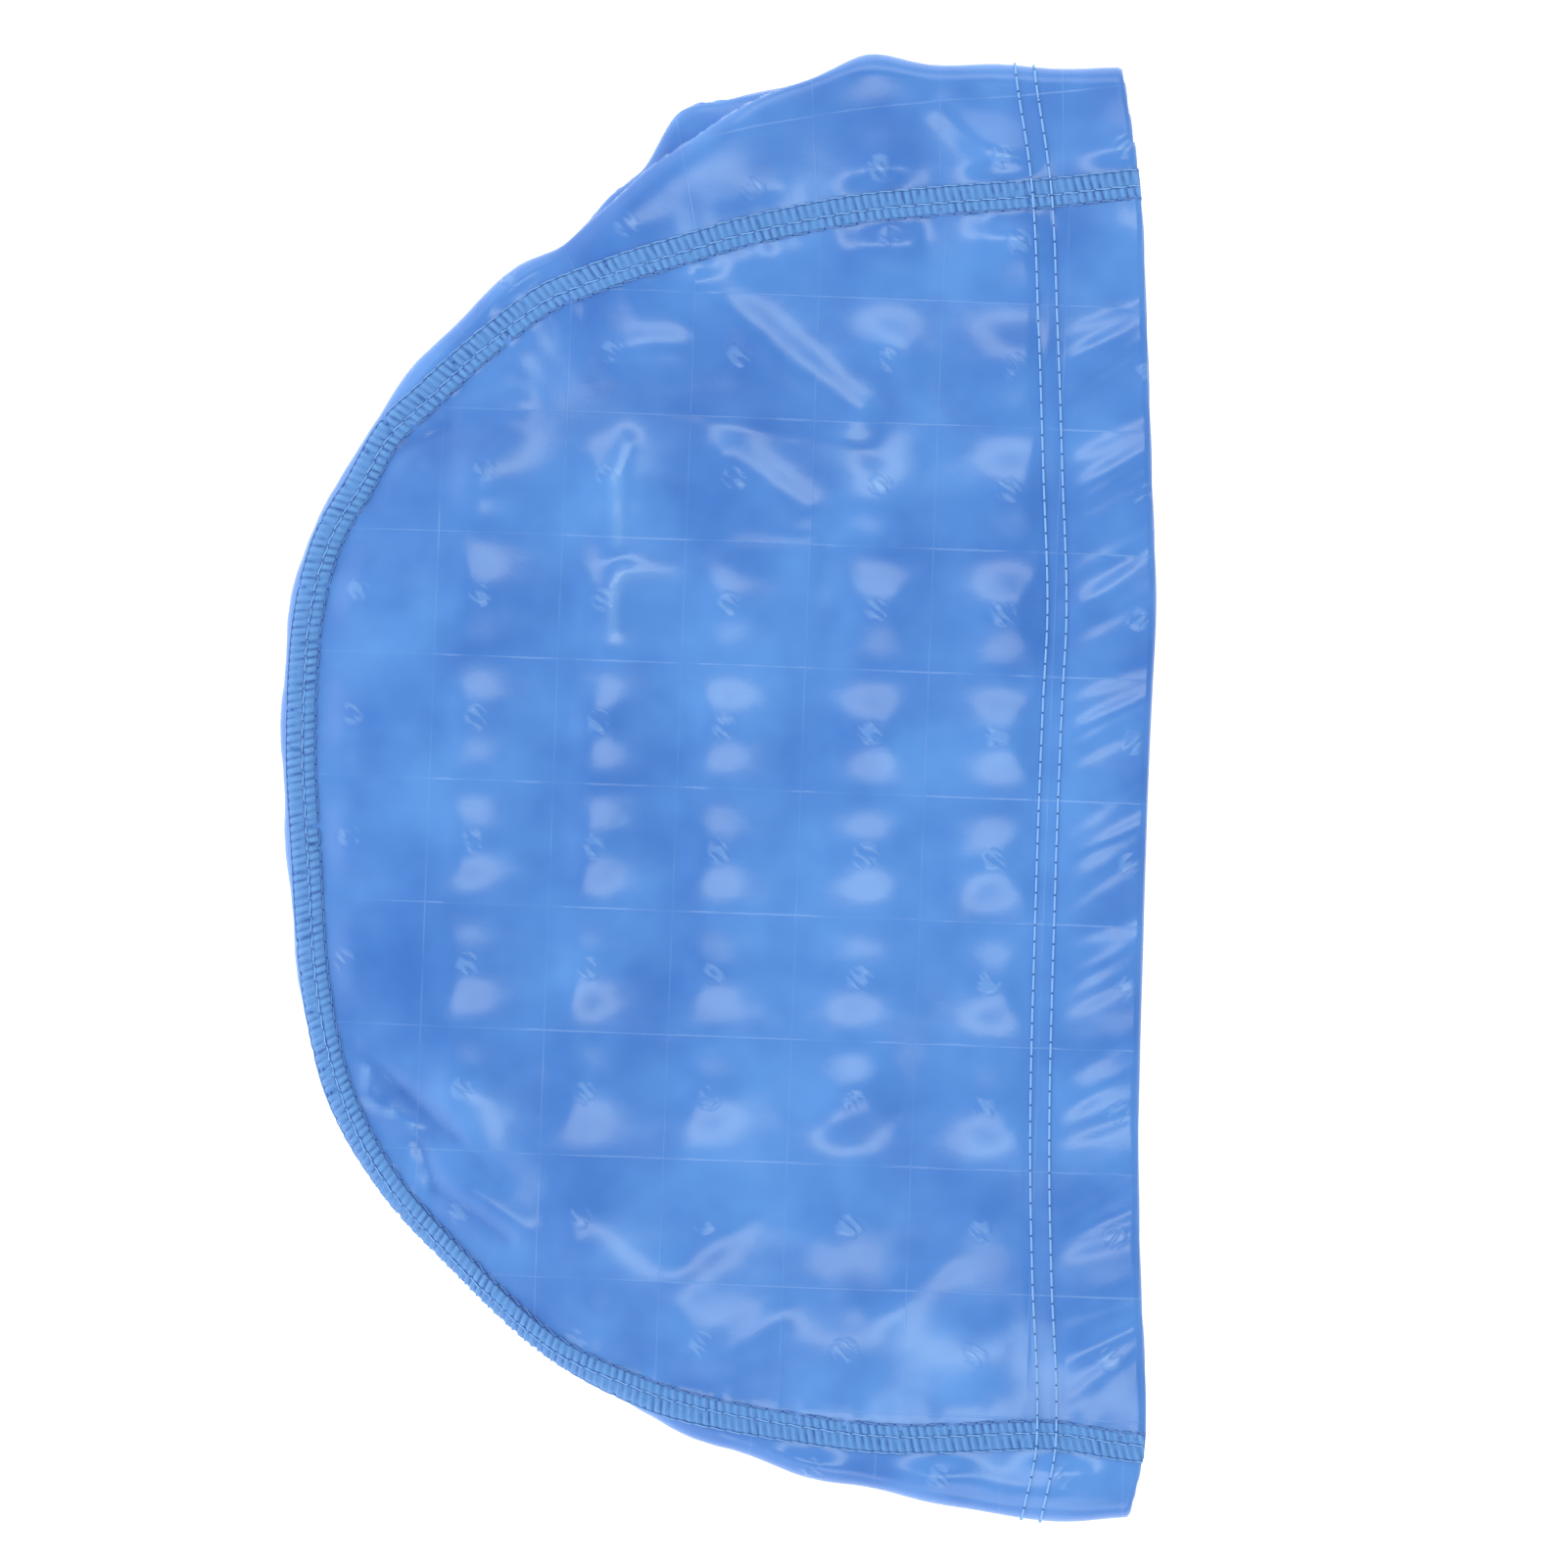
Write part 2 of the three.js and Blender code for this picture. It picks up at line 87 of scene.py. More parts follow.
# Outline sections, nape end of the rim round the crown to the forehead end:
# x, y: upper seam's centre line. bearing: direction of the section, degrees.
# fold: seam out to the upper layer's fold. outline: seam out to the cap's edge.
# under: outline back in to the lower seam. rise: height of the cloth at the
# upper seam. pleat: 1 where the strip is pleated into a Z.
COLUMNS = ("x", "y", "bearing", "fold", "outline", "under", "rise", "pleat")
SECTIONS = np.array([
    (104, -122.6, 270, 12, 12, 23.5, 9.6, 0),
    (77.3, -120.8, 270, 13, 13, 23.5, 9.6, 0),
    (59.3, -118.6, 270, 15.8, 15.8, 23.7, 9.5, 0),
    (33.2, -119.3, 268, 10.1, 10.1, 24, 9, 0),
    (13.6, -117.2, 264, 7.6, 7.6, 24.5, 8.6, 0),
    (-3.1, -114.1, 258, 4.7, 4.7, 25, 8, 0),
    (-15.9, -110.2, 250, 2.7, 2.7, 25.5, 7.5, 0),
    (-33, -101.9, 238, 0.7, 0.7, 26, 7.2, 0),
    (-49.9, -85.9, 226, 0.7, 0.7, 26.5, 7.2, 0),
    (-61.7, -72.2, 216, 1.1, 1.1, 27.5, 7.2, 0),
    (-70.1, -55.6, 204, 2.1, 2.1, 28.5, 7.2, 0),
    (-74.4, -36.2, 190, 2.4, 2.4, 29.5, 7.2, 0),
    (-75.9, -14.6, 184, 3, 3, 30, 7.2, 0),
    (-77, 8.3, 180, 3.1, 3.1, 30, 7.2, 0),
    (-75.9, 29.9, 173, 3.1, 3.1, 29, 7.2, 0),
    (-72.3, 45.2, 158, 3.1, 3.1, 27, 7.2, 0),
    (-66, 56.3, 148, 3.1, 3.1, 25, 7.3, 0),
    (-60.9, 65.2, 140, 3.2, 3.2, 23, 7.5, 0),
    (-53.7, 72.1, 133, 4.9, 4.9, 21.5, 7.8, 0),
    (-44.2, 80.8, 127, 6.3, 6.3, 20.5, 8.2, 0),
    (-33.2, 89.3, 117, 7.3, 7.3, 19.5, 8.8, 0),
    (-25.1, 92.9, 112, 8.6, 8.9, 17.4, 9.6, 0.3),
    (-16.6, 96, 107, 11.7, 13.6, 17.6, 10.6, 0.8),
    (-10, 97.9, 103, 16, 17, 17.5, 11.2, 0.9),
    (-3.1, 99.9, 99, 19, 25.3, 22.3, 11.6, 1),
    (4.6, 102.2, 96, 22.1, 25.1, 18.6, 11.6, 1),
    (15.6, 104.6, 93, 25.4, 26, 16.5, 11.2, 0.4),
    (27.1, 106.6, 91, 27.7, 27.7, 16.7, 10.8, 0),
    (39.3, 107.8, 90, 25.4, 25.4, 14.9, 10.6, 0),
    (61.5, 109.5, 90, 23, 23, 14.7, 10.5, 0),
    (77.7, 111.2, 90, 21.3, 21.3, 15.3, 10.5, 0),
    (104, 113.8, 90, 19.6, 19.6, 15.3, 10.5, 0),
])

# The rim's edge seen from above, nape end first: y, x
RIM = np.array([
    (-140, 74.6), (-133.6, 75.7), (-120.8, 78.2), (-113.2, 78.4), (-90.7, 77.5), (-72.7, 77.1),
    (-23.2, 78), (17.3, 79.5), (30.8, 80.2), (57.8, 79.5), (84.8, 78.6), (111.2, 77.3),
    (132.5, 74.4), (140, 73.6),
])

# Folds: from x0, y0 to x1, y1, half width, and rise (below 0 for a trough)
FOLDS = np.array([
    (-3, 93, 25, 68.5, 5, 0.68),  # long gather from the forehead seam
    (30.2, 75.5, 31.6, 69, 4.5, -0.35),  # crescent dent at its end
    (31.6, 69, 27.5, 62.5, 4.5, -0.35),
    (-16, 80, -8, 81, 4, 0.5),  # short gather
    (1.9, 61.3, 15.4, 51, 4.5, 0.62),  # slant below it
    (27.3, 51.5, 32.3, 47, 4.5, 0.35),
    (-17.2, 63.2, -18.8, 57.8, 3, 0.3),  # upright ridge
    (-18.8, 57.8, -18.5, 44.3, 3, 0.35),
    (-17.6, 39.6, -19.5, 35.6, 3, 0.3),  # bent ridge under it
    (-19.5, 35.6, -19.5, 28.1, 3, 0.3),
    (-19.5, 28.1, -22, -7.9, 5, 0.4),  # long crease
    (-22, -7.9, -28.7, -47.5, 6, 0.4),
    (4, 44.6, 16.1, 43.5, 4, 0.3),  # raised corner of a cell
    (16.1, 43.5, 16.8, 30, 4, 0.3),
    (21, 42, 21, 29.9, 4, -0.4),
    (45.1, -15.1, 36, -36, 6, 0.4),  # slant towards the nape
    (36, -36, 22.6, -60.1, 6, 0.4),
    (-66, -56.5, -56, -62, 4, 0.35),  # between the nape creases
    (-46, -74, -37, -80, 4, 0.5),
    (-60, -55.5, -52, -63, 4, -0.35),
    (-8, -89, 5, -78, 3.5, 0.2),  # nape wrinkles
    (18, -82, 25, -95, 3.5, 0.2),
    (-38, -91, -27, -84, 3, 0.18),
    (32, -96, 42, -86, 3.5, 0.2),
    (2, -104, 12, -96, 3, 0.18),
    (-53, 70.4, -36.8, 71, 3, 0.3),  # creases off the crown seam
    (-58, 60, -44, 54, 3.5, 0.25),
    (40.6, 125.3, 56.8, 113, 3.5, 0.4),  # on the strip
    (42, -125, 62, -131, 3.5, 0.35),
])
# Sharp creases, stated as the folds are. A raised one gets a painted highlight,
# a little paler, and a sunken one painted shade.
CREASES = np.array([
    (-68.1, -46.8, -57.7, -55.6, 2, -0.45),  # from the nape seam down
    (-57.7, -55.6, -48.2, -63.9, 1.8, -0.4),
    (-48.2, -63.9, -40.2, -72.2, 1.8, -0.3),
    (-55, -64.6, -52.3, -73.4, 2.2, -0.5),
    (-52.3, -73.4, -38.8, -82.4, 2, -0.4),
    (-66.5, -47.7, -64.5, -51.1, 1.6, 0.25),  # thin ridges there
    (-64.5, -51.1, -64.9, -54.4, 1.6, 0.25),
    (-65.3, -57.6, -60.2, -59.2, 1.8, 0.3),
    (-60.2, -59.2, -56.3, -61.6, 1.8, 0.3),
    (-56.3, -61.6, -54.3, -64.6, 1.6, 0.25),
    (-8, 69.4, 26, 62.4, 2.2, -0.1),  # over the brow
    (-61.4, 61.9, -50, 66.5, 2.6, -0.4),  # off the crown seam
    (-17.4, 62.8, -18.9, 57, 1.8, 0.15),  # on the upright ridge
    (-18.9, 57, -18.5, 45.5, 1.8, 0.2),
    (-8, 39.2, -17.6, 39.6, 1.8, 0.12),  # and the bent one
    (-17.6, 39.6, -19.5, 35.6, 1.8, 0.2),
    (-19.5, 35.6, -19.5, 28.1, 1.8, 0.2),
])
# The line over the brow along which the cells are pulled flat
BROW = np.array([(-24, 76), (4, 76), (20.2, 66.5), (10, 58)])
BROW_HALF = 14.0
# Places that lie in soft shade: the line, half width and share
SHADED = (
    (np.array([(-54.8, 61.5), (-20.6, 70.2), (4, 71), (20.2, 61.5)]), 8, 0.4),
    (np.array([(30.2, 75.5), (31.6, 69), (27.5, 62.5)]), 3.2, 0.5),
    (np.array([(-60, -55.5), (-53, -62.5)]), 3.5, 0.4),
)
CREASE_HALF = 1.2  # how far from a sharp crease its painted shade or painted highlight reaches
WANDER = (0.5, 0.1)  # how far the slow and the quick waves move a fold

# Ripples across the hem, in each row of cells
RIPPLE_FIRST = -101.0  # the first row's middle, in y
RIPPLE_ROWS = 9
RIPPLE_X = 70.0  # each ripple's place in y is that at this x
RIPPLE_START = (60.0, 70.0)  # the ripples start and are full at these x
RIPPLE_GAP = 4.2  # between the three narrow ones, times 1.3
WIDE_RIPPLE = (0.55, 4.0, 0.45)  # slant, half width and rise

# Where the cushions are lower, as shares of their height
BROW_FLAT = 0.95  # taken away along the brow
RIM_CUSHION = 0.45  # left at the rim, and the run over which it grows
RIM_RUN = (8, 24)
NAPE_FLAT = 0.45  # taken away at the nape, and where in y
NAPE_RUN = (48, 78)
PLEAT_FLAT = 0.7  # taken away in the pleat
STRIP_CUSHION = 0.9  # left on the strip
LOWER_RISE = 0.35  # height on the hidden panel, mm
ROW_DEPTH = 0.22  # the groove that a hem row pulls, and its half width
ROW_HALF = 1.1
# Seam puckers: height share, length and phase of each wave
PUCKERS = ((1.0, 7.3, 0.0), (0.8, 4.7, 1.0), (0.7, 11.9, 2.0))
PUCKER_RISE = 0.07
PUCKER_RUN = 4.0  # they die out over this run

# Seam bands, strip and panels
BAND_STEP = 0.3  # mesh step along a seam band
BAND_COLUMNS = 15  # points across its face
BAND_BEVEL = 0.1  # its back is this much narrower at each edge
BAND_BACK = -0.25  # and lies this far off the cloth's middle
BAND_ROWS = (0.35, 2.6, 5.65)  # the stitch rows, from the band's first edge
GROOVE_HALF = 0.22  # half the width of a stitch row's groove
RIB_LEAN = 0.25  # how far a rib leans back, mm for each mm across
ROW_LIFT = (0.12, 0.08, 0.12)  # how far each row's thread stands off the ribs
ROW_SHADE = (0.5, 0.0, 0.25)  # how dark each row is at least
COVER_SHADE = 0.3  # how dark the cover threads are
CROWN_RUNS = ((200.0, 360.0),)  # where the upper band is creased most
STRIP_STEP = 0.85  # mesh step along the strip
STRIP_COLUMNS = 56  # mesh steps across the strip
STRIP_LINE = 21.7  # a crease of the strip's squares, from the band's inner edge
STRIP_LINE_X = 40.6  # and one across it, by its place in x at the forehead end
LOWER_STEPS = 12  # mesh steps to a cell on the hidden panel
PLAN_STEP = 2.0  # step of the panels' edges
PAST = 9.0  # how far a section's line runs on past the lower band's edge
RIM_ENDS = (-127.0, 122.0)  # about where the strip's ends are, in y
END_POINTS = 60  # points of a hem row on each end of the strip
FLOOR_CLEAR = 0.02  # thread and band keep this far off the floor
REST_HEIGHT = 0.25  # and the strip's outer face this far

# Where the cushions' tops lean, mm along x, by their place in x
LEAN = np.array([(-62, -3.2), (-18, -3.7), (4, -3.2), (27, 1.2), (50, 1.8), (71, 4.0)])

# Finishes
CLOTH_DARK = "#346EC2"
CLOTH_LIGHT = "#5692DE"
# painted highlight and painted shade, mixed into the film's colour at creases, bosses and shaded
# places
CREASE_HIGHLIGHT = "#8DB9F0"
CREASE_SHADE = "#1C4FA8"
SEAM_DARK = "#4A86CB"
SEAM_LIGHT = "#66A2E2"
SEAM_SHADE = "#1E4C9C"
THREAD_LIGHT = "#82B6EE"
# painted shade of a needle hole and of the darker rows, mixed into the thread's colour
THREAD_SHADE = "#0E3A98"
CLOTH_ROUGHNESS = 0.21
CREASE_WIDTH = 0.22  # the embossing's fine crease, mm
SOFT_RAMP = {"interpolation_type": "SMOOTHSTEP"}
COLOURS = {"data_type": "RGBA"}
MIX_FROM, MIX_TO, MIXED = 6, 7, 2  # a Mix node's two colour sockets and its colour output

# The studio, in metres. Each light has its twin beyond the cap's other end.
TABLE_HALF = 3.0
TABLE_GLOW = 0.5
SOFTBOX_PLACE = np.array([0.12, 1.15, 1.1])
SOFTBOX_SIZE = (0.9, 0.6)
SOFTBOX_RADIANCE = 1.3
NEAR_PLACE = np.array([0.05, 0.37, 1.4])
NEAR_SIZE = (0.7, 0.17)
NEAR_RADIANCE = 4.2
NEAR_COLOUR = (1.0, 1.0, 0.82)
WALL_TOP = (0.60, 0.995)  # the direction's height where walls end and ceiling starts
WALL_RADIANCE = 1.2
CEILING_RADIANCE = 0.4  # round the camera, which looks down from there
SIDE_RADIANCE = (1.25, 0.75)  # shares on the crown's side and on the rim's

# The camera
LENS = 180.0
SENSOR = 36.0
FRAME_WIDTH = 288.2  # what the photograph's side spans, mm
FRAME_CENTRE = (11.9, 1.0)
SEAM_LEVEL = 8.0  # height at which the frame has that width, mm


# Curves

def cubic(f, start, end, start_slope, end_slope):
    """The cubic that runs from start to end, with the given slopes there, as f
    runs from 0 to 1."""
    return ((2 * f**3 - 3 * f**2 + 1) * start + (f**3 - 2 * f**2 + f) * start_slope
            + (3 * f**2 - 2 * f**3) * end + (f**3 - f**2) * end_slope)


def section(name, t):
    """A column of the section table, smooth between rows: the cubic through
    each pair of rows whose slopes are half the difference of their neighbours."""
    values = SECTIONS[:, COLUMNS.index(name)]
    span = np.clip(t, 0, 1) * (len(values) - 1)
    i = np.minimum(span.astype(int), len(values) - 2)
    f = span - i

    def at(k):
        return values[np.clip(k, 0, len(values) - 1)]

    return cubic(f, at(i), at(i + 1), (at(i + 1) - at(i - 1)) / 2, (at(i + 2) - at(i)) / 2)


def smooth(value, low, high):
    """0 below low, 1 above high, and the cubic 3f2 - 2f3 between them."""
    f = np.clip((value - low) / (high - low), 0, 1)
    return f * f * (3 - 2 * f)


def along_path(step):
    """Section parameters t at even steps of length along the upper seam, and
    the length run up to each of them."""
    dense = np.linspace(0, 1, 6001)
    x, y = section("x", dense), section("y", dense)
    run = np.concatenate([[0], np.cumsum(np.hypot(np.diff(x), np.diff(y)))])
    lengths = np.linspace(0, run[-1], int(round(run[-1] / step)) + 1)
    return np.interp(lengths, run, dense), lengths


def profile(t):
    """The cloth's middle line in each section t, as fine polylines of (outward
    distance, height): from the band's inner edge out, round the fold (a half
    circle, or a Z where it is pleated) and in to the lower band."""
    fold, outline, rise = section("fold", t), section("outline", t), section("rise", t)
    under, pleat = section("under", t), np.clip(section("pleat", t), 0, 1)
    pleated = np.stack([
        np.stack([fold - PLEAT_LIP, fold, fold - PLEAT_LIP, fold - PLEAT_DEPTH,
                  fold - PLEAT_TURN, outline, outline - PLEAT_TURN], -1),
        np.broadcast_to([*PLEAT_HEIGHTS, CLOTH_MIDDLE], (len(t), 7)),
    ], -1)
    turn = np.linspace(0, np.pi, 7)
    plain = np.stack([outline[:, None] + FOLD_RADIUS * (np.sin(turn) - 1),
                      np.broadcast_to(CLOTH_MIDDLE + FOLD_RADIUS * (1 + np.cos(turn)),
                                      (len(t), 7))], -1)
    turns = plain + (pleated - plain) * pleat[:, None, None]
    first = np.stack([np.full(len(t), -BAND_WIDTH / 2), rise], -1)[:, None]
    last = np.stack([outline - under + BAND_WIDTH / 2,
                     np.full(len(t), CLOTH_MIDDLE)], -1)[:, None]
    keys = np.concatenate([first, turns, last], 1)
    before, after = 2 * keys[:, :1] - keys[:, 1:2], 2 * keys[:, -1:] - keys[:, -2:-1]
    keys = np.concatenate([before, keys, after], 1)
    gaps = np.sqrt(np.linalg.norm(np.diff(keys, axis=1), axis=-1))[..., None]
    f = np.linspace(0, 1, 12, endpoint=False)[None, :, None]
    pieces = []
    for k in range(1, keys.shape[1] - 2):
        a, b, c = gaps[:, k - 1], gaps[:, k], gaps[:, k + 1]
        p0, p1, p2, p3 = (keys[:, k + j] for j in (-1, 0, 1, 2))
        m1 = ((p1 - p0) / a - (p2 - p0) / (a + b) + (p2 - p1) / b) * b
        m2 = ((p2 - p1) / b - (p3 - p1) / (b + c) + (p3 - p2) / c) * b
        pieces.append(cubic(f, *(value[:, None] for value in (p1, p2, m1, m2))))
    line = np.concatenate(pieces + [last, last - [PAST, 0]], 1)
    line[..., 1] = np.maximum(line[..., 1], CLOTH_MIDDLE)
    return line


def on_profile(line, s):
    """Points and outward normals at arc lengths s (one row to each section)."""
    steps = np.linalg.norm(np.diff(line, axis=1), axis=-1)
    run = np.concatenate([np.zeros((len(line), 1)), np.cumsum(steps, 1)], 1)
    i = np.clip((run[:, None, :] <= s[:, :, None]).sum(-1) - 1, 0, line.shape[1] - 2)
    rows = np.arange(len(line))[:, None]
    f = ((s - run[rows, i]) / np.maximum(steps[rows, i], 1e-9))[..., None]
    points = line[rows, i] * (1 - f) + line[rows, i + 1] * f
    slope = np.gradient(line, axis=1)
    slope = slope[rows, i] * (1 - f) + slope[rows, i + 1] * f
    slope /= np.maximum(np.linalg.norm(slope, axis=-1, keepdims=True), 1e-9)
    return points, np.stack([-slope[..., 1], slope[..., 0]], -1)


def lower_edge(line):
    """Arc length of the lower band's outer edge in each section."""
    return np.linalg.norm(np.diff(line, axis=1), axis=-1).sum(1) - PAST


def rim_x(y):
    """The rim's edge: the cubic through the points of its table."""
    ys, xs = RIM[:, 0], RIM[:, 1]
    slope = np.gradient(xs, ys)
    i = np.clip(np.searchsorted(ys, y) - 1, 0, len(ys) - 2)
    h = ys[i + 1] - ys[i]
    f = np.clip((y - ys[i]) / h, 0, 1)
    return cubic(f, xs[i], xs[i + 1], h * slope[i], h * slope[i + 1])


def turn_in(x, y):
    """The hem: cloth that runs past the rim goes round a half circle and back
    inside. Gives the new x and the depth below the outer face."""
    flat_end = rim_x(y) - HEM_FOLD
    past = np.maximum(x - flat_end, 0)
    angle = np.minimum(past / HEM_FOLD, np.pi)
    back = np.maximum(past - np.pi * HEM_FOLD, 0)
    turned = flat_end + HEM_FOLD * np.sin(angle) - back
    return np.where(past > 0, turned, x), HEM_FOLD * (1 - np.cos(angle))


def on_cloth(run, s, lift):
    """Points and outward normals in the cap's frame, at a run along the upper
    seam, an arc length s across and a lift off the cloth's middle. The arrays
    have one row to each section."""
    t = np.interp(run, PATH_RUN, PATH_T)
    flat, normal = on_profile(profile(t), s)
    angle = np.radians(section("bearing", t))[:, None]
    ahead = np.stack([np.cos(angle), np.sin(angle), 0 * angle], -1)
    up = np.array([0, 0, 1.0])
    base = np.stack([section("x", t), section("y", t), 0 * t], -1)[:, None]
    points = base + flat[..., :1] * ahead + flat[..., 1:] * up
    normals = normal[..., :1] * ahead + normal[..., 1:] * up
    points[..., 0], depth = turn_in(points[..., 0], points[..., 1])
    inner = np.where(depth > HEM_FOLD, -1.0, 1.0)
    return points + normals * (lift * inner - depth)[..., None], normals * inner[..., None]


def nearest_on(path, x, y):
    """Signed distance to a polyline in plan (above 0 inside the cap), the
    number of its piece with the fraction along it, and the nearest points."""
    best, where = np.full(x.shape, np.inf), np.zeros(x.shape)
    sign, foot = np.ones(x.shape), np.zeros(x.shape + (2,))
    for k, (a, run) in enumerate(zip(path[:-1], np.diff(path, axis=0))):
        dx, dy = x - a[0], y - a[1]
        f = np.clip((dx * run[0] + dy * run[1]) / (run**2).sum(), 0, 1)
        gap = np.hypot(dx - f * run[0], dy - f * run[1])
        closer = gap < best
        best = np.where(closer, gap, best)
        where = np.where(closer, k + f, where)
        sign = np.where(closer, np.sign(run[1] * dx - run[0] * dy), sign)
        foot = np.where(closer[..., None], a + f[..., None] * run, foot)
    return best * sign, where, foot


def plan_path(offset):
    """Section parameters and plan points of the line that runs at a distance
    outward from the upper seam; offset is a function of the parameter."""
    t = np.interp(np.arange(0, PATH_RUN[-1], PLAN_STEP), PATH_RUN, PATH_T)
    angle = np.radians(section("bearing", t))
    d = offset(t)
    return t, np.stack([section("x", t) + d * np.cos(angle),
                        section("y", t) + d * np.sin(angle)], -1)


# Relief

def fold_height(x, y):
    """Height of the folds: each falls off as exp(-1.5 (distance / half)^2), a
    sharp crease as exp(-2 (distance / half)^1.4), from its line, which wanders.
    Where several meet, the highest ridge and the deepest trough count."""
    slow, quick = WANDER
    x, y = (x + slow * np.sin(y / 5.6) + quick * np.sin(y / 2.3 + x / 5.0),
            y + slow * np.sin(x / 6.1 + 1.0) + quick * np.sin(x / 2.6 - y / 5.3))
    total = hem_ripples(x, y)
    for table, steep, power in ((FOLDS, 1.5, 2.0), (CREASES, 2.0, 1.4)):
        ridge, trough = np.zeros(x.shape), np.zeros(x.shape)
        for *line, half, rise in table:
            gap = away_from(x, y, line[:2], line[2:])
            height = rise * np.exp(-steep * (gap / half) ** power)
            ridge, trough = np.maximum(ridge, height), np.minimum(trough, height)
        total = total + ridge + trough
    return total


def crease_shade(x, y):
    """Painted shade of the sharp creases, below 0 (painted highlight) on a raised one
    and 0 from about 2 mm off, with a soft painted shade in the places of its table."""
    shade = np.zeros(x.shape)
    for line, half, share in SHADED:
        gap, _, _ = nearest_on(line, x, y)
        shade += share * np.exp(-((gap / half) ** 2))
    for *line, half, rise in CREASES:
        gap = away_from(x, y, line[:2], line[2:])
        shade -= rise * np.exp(-((gap / CREASE_HALF) ** 2))
    return shade


def away_from(x, y, start, end):
    """Distance in plan from the straight line between two points."""
    run = np.subtract(end, start)
    f = np.clip(((x - start[0]) * run[0] + (y - start[1]) * run[1]) / (run**2).sum(), 0, 1)
    return np.hypot(x - start[0] - f * run[0], y - start[1] - f * run[1])


def hem_ripples(x, y):
    """Height of the ripples across the hem: in each row of cells a wide ridge
    and three narrow ones that slant up towards the rim and start to rise at the
    hem stitches."""
    rng = np.random.default_rng(12)
    total = np.zeros(x.shape)
    for k in range(RIPPLE_ROWS):
        middle = RIPPLE_FIRST + k * CELL
        ripples = [(middle, *WIDE_RIPPLE)]
        for side in (-1.3, 0, 1.3):
            start = middle + side * RIPPLE_GAP + rng.uniform(-1.4, 1.4)
            slant = rng.uniform(0.35, 0.8)
            half = rng.uniform(1.4, 2.2)
            ripples.append((start, slant, half, 0.11 * half))
        for start, slant, half, rise in ripples:
            gap = y - start - slant * (x - RIPPLE_X)
            total += rise * np.exp(-1.5 * (gap / half) ** 2 / (1 + slant**2))
    return total * smooth(x, *RIPPLE_START)


def cushions(u, v):
    """The embossed cells: in each a low hill (1 + cos(pi a)) (1 + cos(pi b)) / 4
    high, level at its top and its border, where a and b are the distances from
    the middle as shares of the way to the border. No two neighbours are quite
    as high."""
    hills = (0.5 - 0.5 * np.cos(2 * np.pi * k) for k in (u, v))
    uneven = 1 + 0.07 * np.sin(7.1 * np.floor(u) + 4.3 * np.floor(v))
    return CUSHION_RISE * uneven * np.prod(list(hills), 0)


def leaning(u, x):
    """Cell coordinate u bent so that the cushions' tops, which lean to one side,
    come to the middle of their cells; borders stay where they are."""
    lean = np.interp(x, LEAN[:, 0], LEAN[:, 1]) / CELL
    f, top = u - np.floor(u), 0.5 + lean
    near = smooth(f, 0, top * 0.85) * (1 - smooth(f, 1 - (1 - top) * 0.85, 1))
    return u - lean * near


def seam_puckers(gap, run):
    """Small wrinkles that run in from the seam and die out over 6 mm."""
    wave = sum(share * np.sin(run * 2 * np.pi / length + phase) for share, length, phase in PUCKERS)
    return PUCKER_RISE * wave * np.exp(-np.maximum(gap, 0) / PUCKER_RUN)


def upper_face(x, y):
    """Outer face of the upper panel: from the seam's height it arches up to
    the crest over ARCH_RUN, with folds, cushions, hem rows and puckers on it."""
    gap, where, _ = nearest_on(UPPER_EDGE, x, y)
    t = np.interp(where, np.arange(len(UPPER_T)), UPPER_T)
    inside = np.maximum(gap - BAND_WIDTH / 2 + BAND_TUCK, 0)
    arch = smooth(inside, -ARCH_RUN / 3, ARCH_RUN)
    start = smooth(0.0, -ARCH_RUN / 3, ARCH_RUN)
    q = rim_x(y) - x
    crest = CREST - MOUTH_DROP * (1 - smooth(q, 0, MOUTH_RUN))
    rise = section("rise", t)
    middle = rise + (crest - rise) * (arch - start) / (1 - start)
    hem = sum(np.exp(-(((q - row) / ROW_HALF) ** 2)) for row in HEM_ROWS)
    _, _, brow = nearest_on(BROW, x, y)
    pulled = np.exp(-((np.hypot(x - brow[:, 0], y - brow[:, 1]) / BROW_HALF) ** 2))
    full = ((1 - BROW_FLAT * pulled)
            * (RIM_CUSHION + (1 - RIM_CUSHION) * smooth(q, *RIM_RUN))
            * (1 - NAPE_FLAT * smooth(-y, *NAPE_RUN)))
    relief = (smooth(inside, 0, 4) * fold_height(x, y)
              + smooth(inside, -1, 5) * full * cushions(*cell_of(x, y))
              + seam_puckers(inside, np.interp(t, PATH_T, PATH_RUN)) - ROW_DEPTH * hem)
    return middle + CLOTH / 2 + relief


def lower_face(x, y):
    """Outer face of the lower panel, pressed flat on the floor with the cushions'
    tops down."""
    return CLOTH_MIDDLE - CLOTH / 2 - LOWER_RISE * cushions(*cell_of(x, y)) / CUSHION_RISE


def cell_of(x, y):
    """Cell coordinates of a plan point: whole numbers are cell borders."""
    dx, dy = (x - CELL_CORNER[0]) / CELL, (y - CELL_CORNER[1]) / CELL
    cos, sin = math.cos(CELL_TURN), math.sin(CELL_TURN)
    return leaning(dx * cos + dy * sin, x), dy * cos - dx * sin


def plan_of(u, v):
    """Plan point of a place in the square lattice of the cells."""
    cos, sin = math.cos(CELL_TURN), math.sin(CELL_TURN)
    return (CELL_CORNER[0] + CELL * (u * cos - v * sin),
            CELL_CORNER[1] + CELL * (u * sin + v * cos))


# Meshes

